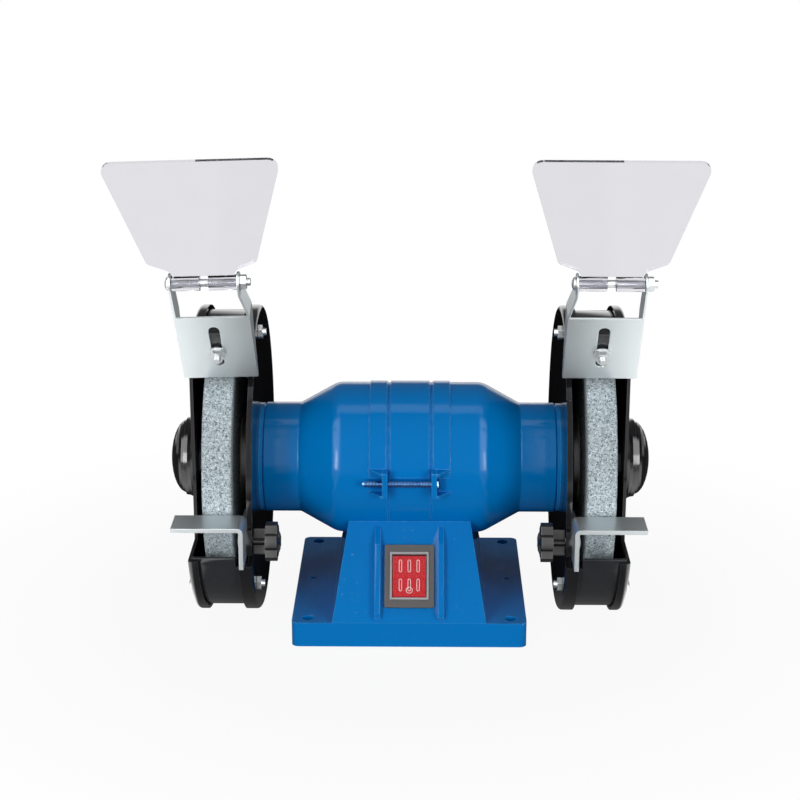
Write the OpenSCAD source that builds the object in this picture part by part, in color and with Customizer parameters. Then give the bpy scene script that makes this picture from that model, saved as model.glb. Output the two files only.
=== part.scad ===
// Bench grinder with two wheels, adjustable tool rests and eye shields.
// X runs along the shaft, -Y is the operator's side, +Z is up.
// The origin is the centre of the base's underside.

/* [Base] */
// Width of the base plate
base_w = 130; // [122:1:150]
// Depth of the base plate
base_d = 130; // [124:1:150]
// Height of the base skirt
base_h = 14.2; // [12:0.1:18]
// Wall of the base casting
base_wall = 3; // [2.4:0.1:4]
// Radius of the base's upright corners
base_corner_r = 4; // [2:0.5:7]
// Distance of the bench holes from the base's side edges
bench_hole_in_x = 8.8; // [7:0.1:12]
// Distance of the bench holes from the base's front and rear edges
bench_hole_in_y = 7; // [6.5:0.1:10]
// Diameter of the bench holes
bench_hole_d = 6.6; // [5:0.1:8]
// Thickness of the bottom cover
bottom_cover_t = 1.5; // [1:0.1:2.5]

/* [Pedestal] */
// Width of the pedestal where it leaves the base
pedestal_w = 85; // [80:1:92]
// Width of the pedestal at its top edge
pedestal_top_w = 68; // [62:1:74]
// How far below the shaft the pedestal's top edge meets the barrel
saddle_drop = 26.7; // [25:0.1:29]
// Thickness of the two ribs beside the switch
rib_t = 3; // [2:0.1:4]
// Height of the ribs above the sloping face
rib_h = 4; // [2:0.1:5]
// Distance of each rib from the centre
rib_x = 17.6; // [17:0.1:22]

/* [Switch] */
// Width of the switch bezel
switch_w = 27.4; // [26:0.1:30]
// Length of the switch bezel
switch_l = 35.3; // [33:0.1:38]
// Thickness of the switch bezel
switch_bezel_t = 2; // [1.5:0.1:3]
// Distance from the foot of the slope to the middle of the switch
switch_up = 26; // [24:0.1:29]
// Depth of the switch body behind the panel
switch_depth = 17; // [14:0.5:20]

/* [Motor] */
// Radius of the motor barrel
barrel_r = 42.8; // [41:0.1:44]
// Half length of the straight barrel
barrel_half = 41; // [38:0.1:44]
// Radius of the motor necks
neck_r = 31.2; // [28:0.1:33]
// Distance from the centre to where each cone meets its neck
cone_end = 62; // [58:0.1:64]
// Distance from the centre to the end of each neck
neck_end = 82; // [81:0.1:84]
// Wall of the motor castings
motor_wall = 3.5; // [3:0.1:5]
// Half width of the middle shell between the two end bells
seam_half = 11.9; // [9:0.1:14]
// Height of the raised panel on the barrel
panel_h = 0.8; // [0.4:0.1:1.5]
// Half length of the raised panel along the barrel
panel_half = 22.5; // [18:0.5:28]
// Height of each clamping lug
lug_h = 14.7; // [12:0.1:18]
// Thickness of each clamping lug
lug_t = 3.3; // [2.5:0.1:4.5]
// How far the lugs stand off the barrel
lug_reach = 8; // [7:0.1:10]
// Diameter of the clamping screws
tie_d = 4; // [3:0.5:4]

/* [Rotor] */
// Diameter of the shaft in its bearings
shaft_d = 15; // [15:0.5:17]
// Diameter of the shaft at the wheels
spindle_d = 12.7; // [12:0.1:14]
// Outer diameter of the bearings
bearing_d = 35; // [34:0.5:38]
// Width of the bearings
bearing_w = 11; // [10:0.5:12]
// Distance from the centre to the inner face of each bearing
bearing_x = 65; // [64:0.1:67]
// Length of the stator and rotor cores
core_l = 38; // [30:1:44]
// Radial depth of the stator core
stator_depth = 18.3; // [16:0.1:20]
// Air gap between rotor and stator
air_gap = 0.4; // [0.3:0.05:0.8]

/* [Wheels] */
// Diameter of the wheels
wheel_d = 150; // [144:1:151]
// Thickness of the wheels
wheel_t = 16; // [12:0.5:18]
// Distance from the centre to the middle of each wheel
wheel_x = 103.1; // [102.5:0.1:104]
// Radius of the wheel flanges
flange_r = 25; // [20:0.5:28]
// Thickness of the wheel flanges
flange_t = 3.6; // [3:0.1:4]

/* [Guards] */
// Distance from the wheel's rim to the outside of its guard
guard_gap = 11.7; // [11:0.1:12.5]
// Height of the guards above the bench
bench_gap = 2.3; // [2:0.1:5]
// Distance from the centre to the inner face of each guard
guard_in_x = 84.2; // [83.8:0.1:85]
// Distance from the centre to the outer face of each guard
guard_out_x = 119.2; // [118.8:0.1:120]
// Thickness of the guard's cast back
guard_web = 3; // [2.5:0.1:3.5]
// Width of the rim that the cast back turns over the band
back_rim_w = 7.8; // [5:0.1:9]
// Thickness of the guard's band
band_t = 1.6; // [1.2:0.1:2]
// Thickness of the side cover
cover_t = 1.8; // [1.4:0.1:2.2]
// Width of the rim that the side cover turns over the band
cover_rim_w = 5.5; // [4:0.1:8]
// Angle below level at which the band's lower lip ends
lip_angle = 22.4; // [21:0.1:24]
// Angle above level at which the upper opening ends
opening_angle = 51; // [50:0.1:52.5]
// How far in front of the shaft the side cover is cut away
cover_cut_y = 46; // [40:1:47]
// Radius of the side cover's dome
dome_r = 32; // [30:0.5:35]
// How far the dome stands out of the side cover
dome_h = 16.9; // [16:0.1:19]
// Radius of the cap in the middle of the dome
dome_cap_r = 20.9; // [18:0.1:23]
// Diameter of the screws through each guard
guard_screw_d = 4; // [3:0.5:4]

/* [Tool rests] */
// How far the rest's top face lies below the shaft
rest_drop = 7; // [5:0.1:9]
// Depth of the rest's top face
rest_depth = 20.5; // [18:0.5:25]
// Gap between the rest and the wheel
rest_gap = 2.9; // [2.8:0.1:4]
// Distance from the centre to the rest's outer end
rest_out_x = 125.4; // [122:0.1:130]
// Thickness of the rest plate
rest_t = 2.3; // [2:0.1:3]
// Height of the rest's upright flange
rest_flange_h = 23.2; // [22.5:0.1:23.5]
// How far the rest's bolt lies below its top face
rest_bolt_down = 16.5; // [16:0.1:17]
// How far the rest's bolt lies behind the edge of its top face
rest_bolt_back = 4.6; // [4:0.1:6]
// Diameter of the rest's bolt
rest_bolt_d = 5; // [4:0.5:5]
// Travel of the rest away from the wheel
rest_travel = 8; // [4:0.5:9]
// Radius of the star knob
knob_r = 10.75; // [9:0.25:12]
// Thickness of the star knob's head
knob_t = 6.6; // [5:0.1:8]
// Radius of the star knob's hub
knob_hub_r = 7.2; // [6:0.1:8]

/* [Shield brackets] */
// Width of the bracket
bracket_w = 39.8; // [39.4:0.1:41]
// Length of the bracket's plate
bracket_l = 45; // [42:0.5:50]
// Thickness of the bracket
bracket_t = 1.2; // [1:0.1:1.2]
// Forward lean of the bracket from upright, in degrees
bracket_lean = 30; // [28:0.5:32]
// How far the bracket's motor-side ear is set in from its plate's edge
ear_set_in = 3.3; // [2:0.1:4]
// How far the bracket's clamp screw stands outside the guard
clamp_out = 12.3; // [11.8:0.1:14]
// Angle of the clamp screw above level, in degrees
clamp_angle = 52.5; // [52:0.1:53.5]
// Distance from the plate's lower edge to the clamp screw
clamp_up = 19; // [17:0.5:20]
// Width of the bracket's slot
slot_w = 5.9; // [4.5:0.1:7]
// Length of the bracket's slot
slot_l = 29; // [24:0.5:31]
// Outward turn of the left bracket about its clamp screw
left_bracket_turn = 2.2; // [0:0.1:2.4]
// Outward turn of the right bracket about its clamp screw
right_bracket_turn = 0.3; // [0:0.1:2.4]

/* [Eye shields] */
// Thickness of the shield's sheet
shield_t = 2; // [1.5:0.1:3]
// Height of the shield above its hinge
shield_h = 73.5; // [60:0.5:85]
// Half width of the shield at its top edge
shield_top_half = 45.5; // [40:0.1:50]
// Half width of the shield at its shoulder
shield_low_half = 28.2; // [24:0.1:32]
// Height of the shoulder above the hinge
shield_shoulder = 13; // [11:0.1:16]
// Forward lean of the shield from upright, in degrees
shield_lean = 22; // [15:0.5:28]
// Diameter of the hinge screw
hinge_d = 4; // [3:0.5:4.5]
// Radius of the shield's knuckles
knuckle_r = 4; // [3.6:0.1:4.5]

/* [Hidden] */

LEFT = -1;
RIGHT = 1;
eps = 0.01;
fit = 0.05;
slide_gap = 0.1;
turn_gap = 0.3;
smooth_fn = 96;
small_fn = 48;
FRONT = -1;
REAR = 1;

blue = "#0070c4";
black = "#2a2a2e";
zinc = "#c8cdd0";
steel = "#9aa0a6";

// ---- shared geometry ----

wheel_r = wheel_d / 2;
guard_r = wheel_r + guard_gap;
shaft_h = guard_r + bench_gap;
pedestal_top_z = shaft_h - saddle_drop;
clamp_r = guard_r + clamp_out;
bench_hole_dx = base_w - 2 * bench_hole_in_x;
bench_hole_dy = base_d - 2 * bench_hole_in_y;

slope_run = base_d / 2 - sqrt(pow(barrel_r, 2) - pow(shaft_h - pedestal_top_z, 2));
slope_rise = pedestal_top_z - base_h;
slope_angle = atan2(slope_rise, slope_run);
slope_l = norm([slope_run, slope_rise]);

band_r = guard_r - 2.7;
rim_t = guard_r - band_r - fit;
web_in = guard_in_x + guard_web;
open_web_r = wheel_r + 0.5;
cover_in = guard_out_x - cover_t;
guard_screw_r = (wheel_r + band_r - band_t) / 2;
guard_screw_angles = [opening_angle + 29, 198, 316];

rest_z = shaft_h - rest_drop;
rest_y = sqrt(pow(wheel_r, 2) - pow(rest_drop, 2)) + rest_gap;
rest_bolt_z = rest_z - rest_bolt_down;
rest_bolt_y = rest_y - rest_bolt_back;
rest_in_x = web_in + slide_gap;

bracket_x = (guard_in_x + guard_out_x) / 2 + 0.2;
ear_r = 5.5;
hinge_y = 4.6;
hinge_z = bracket_l - clamp_up + 20.8;
hinge_half = (bracket_w - ear_set_in) / 2;

// Draws its children as they are for the right side, mirrored for the left.
module on_side(side) {
    mirror([side == LEFT ? 1 : 0, 0, 0]) children();
}

module on_both_sides() {
    for (side = [LEFT, RIGHT]) on_side(side) children();
}

// Turns a shape that stands on Z so that it lies along +X from the shaft line.
module along_shaft(x = 0) {
    translate([x, 0, shaft_h]) rotate([0, 90, 0]) children();
}

module disc(r, x0, x1, fn = smooth_fn) {
    along_shaft(x0) cylinder(r = r, h = x1 - x0, $fn = fn);
}

module ring(outer, inner, x0, x1, fn = smooth_fn) {
    along_shaft(x0) difference() {
        cylinder(r = outer, h = x1 - x0, $fn = fn);
        translate([0, 0, -1]) cylinder(r = inner, h = x1 - x0 + 2, $fn = fn);
    }
}

// A sector of a ring about the shaft. Angles rise from level at the front, over the top.
module sector(outer, inner, x0, x1, from, to) {
    translate([0, 0, shaft_h]) rotate([0, 90, 0]) rotate([0, 0, 270 - to])
        translate([0, 0, x0]) rotate_extrude(angle = to - from, $fn = smooth_fn)
            translate([inner, 0]) square([outer - inner, x1 - x0]);
}

// A point about the shaft at radius r and an angle above level at the front.
function about_shaft(r, angle) = [0, -r * cos(angle), shaft_h + r * sin(angle)];

module at_shaft_angle(r, angle, x = 0) {
    translate(about_shaft(r, angle) + [x, 0, 0]) rotate([0, 90, 0]) children();
}

// Points of a polygon whose corners [x, y, radius] are rounded.
function corner_arc(a, b, c, r, steps = 6) =
    let (
        u = (a - b) / norm(a - b),
        v = (c - b) / norm(c - b),
        half = acos(u * v) / 2,
        centre = b + (u + v) / norm(u + v) * r / sin(half),
        p = b + u * r / tan(half) - centre,
        q = b + v * r / tan(half) - centre,
        sweep = 180 - 2 * half,
        turn = (p.x * q.y - p.y * q.x) > 0 ? 1 : -1
    )
    r == 0 ? [b] : [
        for (i = [0 : steps])
            let (t = turn * sweep * i / steps)
            centre + [p.x * cos(t) - p.y * sin(t), p.x * sin(t) + p.y * cos(t)]
    ];

function rounded(corners) = [
    for (i = [0 : len(corners) - 1])
        let (
            n = len(corners),
            a = corners[(i + n - 1) % n],
            b = corners[i],
            c = corners[(i + 1) % n]
        )
        each corner_arc([a.x, a.y], [b.x, b.y], [c.x, c.y], b.z)
];

module rounded_slab(w, d, h, r) {
    linear_extrude(h) union() {
        square([w - 2 * r, d], center = true);
        square([w, d - 2 * r], center = true);
        for (x = [-1, 1], y = [-1, 1])
            translate([x * (w / 2 - r), y * (d / 2 - r)]) circle(r = r, $fn = small_fn);
    }
}

function nut_w(d) = 1.75 * d;

module hex_nut(across, h, bore) {
    difference() {
        cylinder(r = across / sqrt(3), h = h, $fn = 6);
        translate([0, 0, -1]) cylinder(r = bore, h = h + 2, $fn = small_fn);
    }
}

function head_r(d) = 0.85 * d;
function head_h(d) = 0.58 * d;

// A screw head whose top is a shallow dome, on a shank that points down.
module dome_screw(d, l, head_h = 0, drive = "slot") {
    head_r = head_r(d);
    head_h = head_h > 0 ? head_h : head_h(d);
    slot = 0.2 * d;
    translate([0, 0, -l]) cylinder(r = d / 2, h = l + eps, $fn = small_fn);
    difference() {
        rotate_extrude($fn = small_fn) polygon(concat(
            [[0, 0], [head_r, 0]],
            [for (a = [0 : 15 : 90]) [head_r * cos(a), head_h * (0.35 + 0.65 * sin(a))]]
        ));
        if (drive == "slot")
            translate([-head_r, -slot / 2, head_h * 0.6]) cube([2 * head_r, slot, head_h]);
    }
}

// ---- base ----

boss_r = 7;
cover_screw_x = base_w / 2 - 8.6;
cover_screw_d = 3;
cover_z = 1.2;
cover_top = cover_z + bottom_cover_t;
gland_up = 24;
gland_r = 6;
gland_bore_r = 3.6;
cap_r = 12.5;
cap_l = 46;
cap_y = 27;
cap_z = cover_top + cap_r;
clamp_strap_w = 12;
clamp_strap_t = 1.2;
clamp_foot = 9;
saddle_screw_x = 6.5;
saddle_screw_d = 4;
switch_hole_w = switch_w - 4.4;
switch_hole_l = switch_l - 5.4;

// The sloping face of the pedestal: X across, Y up the slope, Z straight out of it.
module on_slope(side) {
    mirror([0, side == REAR ? 1 : 0, 0])
        translate([0, -base_d / 2, base_h]) rotate([slope_angle, 0, 0]) children();
}

// The pedestal's outer form, or its hollow when inset by the wall.
module pedestal_form(inset) {
    low = inset > 0 ? 0 : base_h - 1;
    face = inset / sin(slope_angle);
    flare = (pedestal_w - pedestal_top_w) / 2 / slope_rise;
    function half_d(z) = base_d / 2 - face - (z - base_h) / tan(slope_angle);
    function half_w(z) = pedestal_w / 2 - inset - (z - base_h) * flare;
    low_z = max(low, base_h);
    intersection() {
        rotate([90, 0, 90]) linear_extrude(base_w, center = true) polygon([
            [-half_d(low_z), low], [half_d(low_z), low], [half_d(low_z), low_z],
            [half_d(pedestal_top_z), pedestal_top_z],
            [-half_d(pedestal_top_z), pedestal_top_z], [-half_d(low_z), low_z]
        ]);
        rotate([90, 0, 0]) linear_extrude(base_d, center = true) polygon([
            [-half_w(low_z), low], [half_w(low_z), low], [half_w(low_z), low_z],
            [half_w(pedestal_top_z), pedestal_top_z],
            [-half_w(pedestal_top_z), pedestal_top_z], [-half_w(low_z), low_z]
        ]);
    }
}

module bench_bosses(r) {
    for (x = [-1, 1], y = [-1, 1])
        translate([x * bench_hole_dx / 2, y * bench_hole_dy / 2, -1])
            cylinder(r = r, h = base_h + 2, $fn = small_fn);
}

module base_ribs() {
    foot = 2;
    for (x = [-rib_x, rib_x])
        on_slope(FRONT) translate([x - rib_t / 2, 0, 0]) rotate([90, 0, 90])
            linear_extrude(rib_t) polygon([
                [foot, -1], [foot, rib_h * 0.7], [foot + 2.5, rib_h],
                [slope_l - 14, rib_h], [slope_l - 3, 0.4], [slope_l - 3, -1]
            ]);
}

module base_hollow() {
    difference() {
        union() {
            translate([0, 0, -1])
                rounded_slab(base_w - 2 * base_wall, base_d - 2 * base_wall,
                    base_h - base_wall + 1, max(base_corner_r - base_wall, 1));
            pedestal_form(base_wall);
        }
        bench_bosses(boss_r);
        for (x = [-cover_screw_x, cover_screw_x])
            translate([x, 0, cover_top]) cylinder(r = 4, h = base_h, $fn = small_fn);
        disc(barrel_r + base_wall, -base_w, base_w);
    }
}

module base_casting() {
    color(blue) difference() {
        union() {
            rounded_slab(base_w, base_d, base_h, base_corner_r);
            pedestal_form(0);
            base_ribs();
        }
        base_hollow();
        disc(barrel_r + fit, -base_w, base_w);
        bench_bosses(bench_hole_d / 2);
        for (x = [-cover_screw_x, cover_screw_x])
            translate([x, 0, 0]) cylinder(r = cover_screw_d / 2 + fit, h = base_h + 1, $fn = small_fn);
        for (x = [-saddle_screw_x, saddle_screw_x])
            translate([x, 0, base_h]) cylinder(r = saddle_screw_d / 2 + fit, h = shaft_h, $fn = small_fn);
        on_slope(FRONT) translate([-switch_hole_w / 2, switch_up - switch_hole_l / 2, -2 * base_wall])
            cube([switch_hole_w, switch_hole_l, 3 * base_wall]);
        on_slope(REAR) translate([0, gland_up, -2 * base_wall])
            cylinder(r = gland_r + fit, h = 3 * base_wall, $fn = small_fn);
    }
}

module bottom_cover() {
    gap = 0.4;
    corner = base_w / 2 - bench_hole_dx / 2 + boss_r + gap;
    corner_y = base_d / 2 - bench_hole_dy / 2 + boss_r + gap;
    w = base_w - 2 * base_wall - 2 * gap;
    d = base_d - 2 * base_wall - 2 * gap;
    color(zinc) difference() {
        translate([0, 0, cover_z]) linear_extrude(bottom_cover_t) difference() {
            square([w, d], center = true);
            for (x = [-1, 1], y = [-1, 1])
                translate([x * base_w / 2, y * base_d / 2])
                    square([2 * corner, 2 * corner_y], center = true);
        }
        for (x = [-cover_screw_x, cover_screw_x])
            translate([x, 0, 0]) cylinder(r = cover_screw_d / 2 + fit, h = base_h, $fn = small_fn);
        capacitor_screw_places() cylinder(r = cover_screw_d / 2 + fit, h = base_h, center = true, $fn = small_fn);
    }
}

module bottom_cover_screws() {
    color(zinc) for (x = [-cover_screw_x, cover_screw_x])
        translate([x, 0, cover_z]) rotate([180, 0, 0])
            dome_screw(cover_screw_d, 3 * cover_screw_d, cover_z - 0.2);
}

module cable_gland() {
    inside_l = 5;
    nut_h = 4;
    color(black) on_slope(REAR) translate([0, gland_up, 0]) difference() {
        union() {
            translate([0, 0, -base_wall - inside_l]) cylinder(r = gland_r, h = base_wall + inside_l + 1, $fn = small_fn);
            cylinder(r = gland_r + 2.4, h = nut_h, $fn = 6);
            translate([0, 0, nut_h - eps]) cylinder(r1 = gland_r + 0.6, r2 = gland_bore_r + 1.2, h = 5, $fn = small_fn);
            translate([0, 0, -base_wall - 3]) cylinder(r = gland_r + 2, h = 3 - fit, $fn = 6);
        }
        translate([0, 0, -base_d / 4]) cylinder(r = gland_bore_r, h = base_d / 2, $fn = small_fn);
    }
}

module capacitor() {
    color("silver") translate([-cap_l / 2, cap_y, cap_z]) rotate([0, 90, 0]) {
        rotate_extrude($fn = smooth_fn) polygon(concat(
            [[0, 0]],
            corner_arc([0, 0], [cap_r, 0], [cap_r, cap_l], 1.5),
            [[cap_r, cap_l - 2], [cap_r - 0.6, cap_l - 1.6], [cap_r - 0.6, cap_l], [0, cap_l]]
        ));
        for (y = [-5, 5])
            translate([-0.4, y - 2.4, cap_l - eps]) cube([0.8, 4.8, 8]);
    }
}

// A strap lies over the capacitor across its length, with a foot each side.
module capacitor_clamp() {
    r = cap_r + fit;
    half = cap_r + clamp_foot + 1;
    color(zinc) difference() {
        translate([-clamp_strap_w / 2, cap_y, cover_top]) rotate([90, 0, 90])
            linear_extrude(clamp_strap_w) difference() {
                union() {
                    translate([0, cap_r]) circle(r = r + clamp_strap_t, $fn = smooth_fn);
                    translate([-r - clamp_strap_t, 0]) square([2 * (r + clamp_strap_t), cap_r]);
                    translate([-half, 0]) square([2 * half, clamp_strap_t]);
                }
                translate([0, cap_r]) circle(r = r, $fn = smooth_fn);
                translate([-r, -r]) square([2 * r, r + cap_r]);
            }
        capacitor_screw_places() cylinder(r = cover_screw_d / 2 + fit, h = 3 * base_h, center = true, $fn = small_fn);
    }
}

module capacitor_screw_places() {
    for (y = [-1, 1])
        translate([0, cap_y + y * (cap_r + clamp_foot / 2 + 1), cover_top + clamp_strap_t]) children();
}

module capacitor_clamp_screw() {
    color(zinc) capacitor_screw_places() dome_screw(cover_screw_d, clamp_strap_t + bottom_cover_t);
}

// ---- switch ----

frame_w = 21.5;
frame_l = 26.7;
frame_wall = 1.15;
frame_top = switch_bezel_t + 1.5;
rebate_z = 0.6;
rocker_w = frame_w - 2 * frame_wall - 0.7;
rocker_r = frame_l / 2 - frame_wall - 0.25;
rocker_pivot = -1.2;
rocker_pin_r = 1.2;
rocker_tilt = 5;
cavity_z = -rocker_r - 1.8;

module at_switch() {
    on_slope(FRONT) translate([0, switch_up, 0]) children();
}

module centred_box(w, l, z0, z1) {
    translate([-w / 2, -l / 2, z0]) cube([w, l, z1 - z0]);
}

module switch_housing() {
    color("#3c3a3a") at_switch() difference() {
        union() {
            rounded_slab(switch_w, switch_l, switch_bezel_t, 1.2);
            centred_box(switch_hole_w - 2 * fit, switch_hole_l - 2 * fit, -switch_depth, eps);
        }
        centred_box(frame_w + 2 * fit, frame_l + 2 * fit, rebate_z, frame_top);
        centred_box(frame_w - 2 * frame_wall, frame_l - 2 * frame_wall, cavity_z, frame_top);
        translate([0, 0, rocker_pivot]) rotate([0, 90, 0])
            cylinder(r = rocker_pin_r + fit, h = rocker_w + 2.6, center = true, $fn = small_fn);
    }
}

module switch_frame() {
    color([0.9, 0.9, 0.95, 0.5]) at_switch() difference() {
        centred_box(frame_w, frame_l, rebate_z, frame_top);
        centred_box(frame_w - 2 * frame_wall, frame_l - 2 * frame_wall, -1, frame_top + 1);
    }
}

module switch_rocker() {
    top = frame_top - 0.6;
    dip = 1.1;
    color("#cd323c") at_switch() translate([0, 0, rocker_pivot]) rotate([rocker_tilt, 0, 0]) {
        rotate([90, 0, 90]) linear_extrude(rocker_w, center = true) intersection() {
            circle(r = rocker_r, $fn = smooth_fn);
            polygon([
                [-rocker_r, -7], [rocker_r, -7], [rocker_r, top - rocker_pivot],
                [0, top - rocker_pivot - dip], [-rocker_r, top - rocker_pivot]
            ]);
        }
        rotate([0, 90, 0]) cylinder(r = rocker_pin_r, h = rocker_w + 2.2, center = true, $fn = small_fn);
    }
}

module switch_terminals() {
    l = 7.5;
    w = 6.2;
    t = 0.8;
    color("#c8a040") at_switch() for (x = [-5.5, 5.5], y = [-7, 7])
        translate([x - t / 2, y - w / 2, -switch_depth - l]) cube([t, w, l]);
}

// ---- motor ----

motor_in_r = barrel_r - motor_wall;
rotor_r = motor_in_r - stator_depth - air_gap;
seam_bevel = 0.5;
bearing_r = bearing_d / 2;
hub_x = bearing_x - 2;
shaft_hole_r = shaft_d / 2 + 1.5;
lug_screw_r = barrel_r + lug_reach - 3.6;
gusset_t = 1.7;
gusset_l = 7.5;
panel_from = 3;
panel_to = 104;
washer_t = 0.6;
spigot_step = 1.6;
mount_screw_d = 4;
mount_screw_l = 11;

module stator_shell() {
    color(blue) difference() {
        union() {
            along_shaft() rotate_extrude($fn = smooth_fn) polygon([
                [motor_in_r, -seam_half], [barrel_r - seam_bevel, -seam_half],
                [barrel_r, seam_bevel - seam_half], [barrel_r, seam_half - seam_bevel],
                [barrel_r - seam_bevel, seam_half], [motor_in_r, seam_half]
            ]);
            sector(barrel_r + panel_h, barrel_r - 1, 2 * seam_bevel - seam_half, seam_half - 2 * seam_bevel,
                panel_from, panel_to);
        }
        for (x = [-saddle_screw_x, saddle_screw_x])
            translate([x, 0, base_h]) cylinder(r = saddle_screw_d / 2 + fit, h = shaft_h - base_h, $fn = small_fn);
    }
}

module saddle_screws() {
    l = base_wall + motor_wall - 0.5;
    color(zinc) for (x = [-saddle_screw_x, saddle_screw_x])
        translate([x, 0, shaft_h - barrel_r - base_wall]) rotate([180, 0, 0])
            dome_screw(saddle_screw_d, l);
}

// A lug at the front and one at the rear, each with two gussets behind its face.
module clamp_lugs() {
    for (angle = [0, 180])
        translate([0, 0, shaft_h]) rotate([angle, 0, 0]) {
            translate([seam_half, -barrel_r - lug_reach, -lug_h / 2])
                cube([lug_t, lug_reach + 1.5, lug_h]);
            for (z = [-lug_h / 2, lug_h / 2 - gusset_t])
                translate([seam_half + lug_t - eps, 0, z]) linear_extrude(gusset_t)
                    polygon([
                        [0, -barrel_r - lug_reach], [0.8, -barrel_r - lug_reach],
                        [gusset_l, -barrel_r], [gusset_l, -barrel_r + 1.5], [0, -barrel_r + 1.5]
                    ]);
        }
}

module end_bell(side) {
    lip = 0.8;
    bolt_r = tie_d / 2 + (side == RIGHT ? 0.2 : 0.02);
    color(blue) on_side(side) difference() {
        union() {
            along_shaft() rotate_extrude($fn = smooth_fn) polygon([
                [motor_in_r, seam_half], [barrel_r - seam_bevel, seam_half],
                [barrel_r, seam_half + seam_bevel], [barrel_r, barrel_half],
                [neck_r, cone_end], [neck_r, neck_end - lip], [neck_r - lip, neck_end],
                [neck_r - spigot_step, neck_end], [neck_r - spigot_step, guard_in_x],
                [shaft_hole_r, guard_in_x], [shaft_hole_r, bearing_x + bearing_w + washer_t],
                [bearing_r + 0.02, bearing_x + bearing_w + washer_t], [bearing_r + 0.02, hub_x],
                [neck_r - motor_wall, hub_x], [neck_r - motor_wall, cone_end - 1],
                [motor_in_r, barrel_half - 1]
            ]);
            sector(barrel_r + panel_h, barrel_r - 1, seam_half + 2 * seam_bevel, panel_half,
                panel_from, panel_to);
            clamp_lugs();
        }
        for (angle = [0, 180])
            at_shaft_angle(lug_screw_r, angle, seam_half - 1)
                cylinder(r = bolt_r, h = lug_t + 2, $fn = small_fn);
        mount_screw_places(web_in - mount_screw_l)
            cylinder(r = mount_screw_d / 2 + fit, h = mount_screw_l, $fn = small_fn);
    }
}

module end_bell_left() {
    end_bell(LEFT);
}

module end_bell_right() {
    end_bell(RIGHT);
}

// Two long screws pull the end bells together, with their threads in the left lugs.
module tie_screws() {
    head_x = seam_half + lug_t;
    l = 2 * head_x + 10.5;
    color(zinc) for (angle = [0, 180])
        at_shaft_angle(lug_screw_r, angle, head_x) dome_screw(tie_d, l);
}

module stator_core() {
    inner = rotor_r + air_gap;
    slots = 24;
    tip_t = 1.5;
    slot_half = 1.2;
    mouth_half = 0.6;
    color(steel) along_shaft(-core_l / 2) linear_extrude(core_l) difference() {
        circle(r = motor_in_r - fit, $fn = smooth_fn);
        circle(r = inner, $fn = smooth_fn);
        for (i = [0 : slots - 1]) rotate(i * 360 / slots) {
            translate([inner + tip_t, -slot_half]) square([stator_depth * 0.55, 2 * slot_half]);
            translate([inner - tip_t, -mouth_half]) square([3 * tip_t, 2 * mouth_half]);
        }
    }
}

module windings() {
    inner = rotor_r + air_gap + 2.5;
    outer = motor_in_r - 4;
    l = 13;
    color("#b06a30") on_both_sides() along_shaft(core_l / 2 + fit) rotate_extrude($fn = smooth_fn)
        polygon(rounded([[inner, 0, 0], [outer, 0, 0], [outer - 1, l, 4], [inner + 2, l, 4]]));
}

module rotor_core() {
    ring_t = 6;
    fins = 10;
    color(steel) {
        ring(rotor_r, hub_r + fit, -core_l / 2, core_l / 2);
        on_both_sides() {
            ring(rotor_r - 1.6, rotor_r - 8, core_l / 2 - eps, core_l / 2 + ring_t);
            for (i = [0 : fins - 1])
                translate([core_l / 2 + ring_t - 1, 0, shaft_h]) rotate([i * 360 / fins, 0, 0])
                    translate([0, rotor_r - 7, -0.6]) cube([7, 4.5, 1.2]);
        }
    }
}

module bearing_outer_races() {
    color(steel) on_both_sides() along_shaft(bearing_x) rotate_extrude($fn = smooth_fn) difference() {
        translate([bearing_r - 2.6, 0]) square([2.6, bearing_w]);
        translate([ball_orbit, bearing_w / 2]) circle(r = ball_r + 0.1, $fn = small_fn);
    }
}

hub_r = shaft_d / 2 + 1.5;
ball_r = 2.4;
ball_orbit = (bearing_r + shaft_d / 2) / 2;
ball_count = 9;
spindle_r = spindle_d / 2;
wheel_in_x = wheel_x - wheel_t / 2;
wheel_out_x = wheel_x + wheel_t / 2;
paper_t = 0.6;
shoulder_x = wheel_in_x - paper_t - flange_t;
nut_x = wheel_out_x + paper_t + flange_t;
nut_h = 9;
spindle_nut_w = 19;
thread_r = spindle_r - 0.35;
spindle_end = nut_x + nut_h + 2.5;

module bearing_balls() {
    color("white") on_both_sides() for (i = [0 : ball_count - 1])
        at_shaft_angle(ball_orbit, i * 360 / ball_count, bearing_x + bearing_w / 2)
            sphere(r = ball_r, $fn = 32);
}

module bearing_inner_races() {
    color(steel) on_both_sides() along_shaft(bearing_x) rotate_extrude($fn = smooth_fn) difference() {
        translate([shaft_d / 2 + 0.02, 0]) square([2.6, bearing_w]);
        translate([ball_orbit, bearing_w / 2]) circle(r = ball_r + turn_gap, $fn = small_fn);
    }
}

// The washer takes up the end float between the right bearing and its seat.
module preload_washer() {
    color(steel) ring(bearing_r - 0.2, bearing_r - 3, bearing_x + bearing_w + fit, bearing_x + bearing_w + washer_t - fit, small_fn);
}

module shaft() {
    tip = 1;
    color(steel) {
        disc(hub_r, -bearing_x, bearing_x);
        on_both_sides() along_shaft() rotate_extrude($fn = smooth_fn) polygon([
            [0, bearing_x - 1], [shaft_d / 2, bearing_x - 1], [shaft_d / 2, shoulder_x],
            [spindle_r, shoulder_x], [spindle_r, wheel_out_x], [thread_r, wheel_out_x + 0.4],
            [thread_r, spindle_end - tip], [thread_r - tip, spindle_end], [0, spindle_end]
        ]);
    }
}

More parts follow.
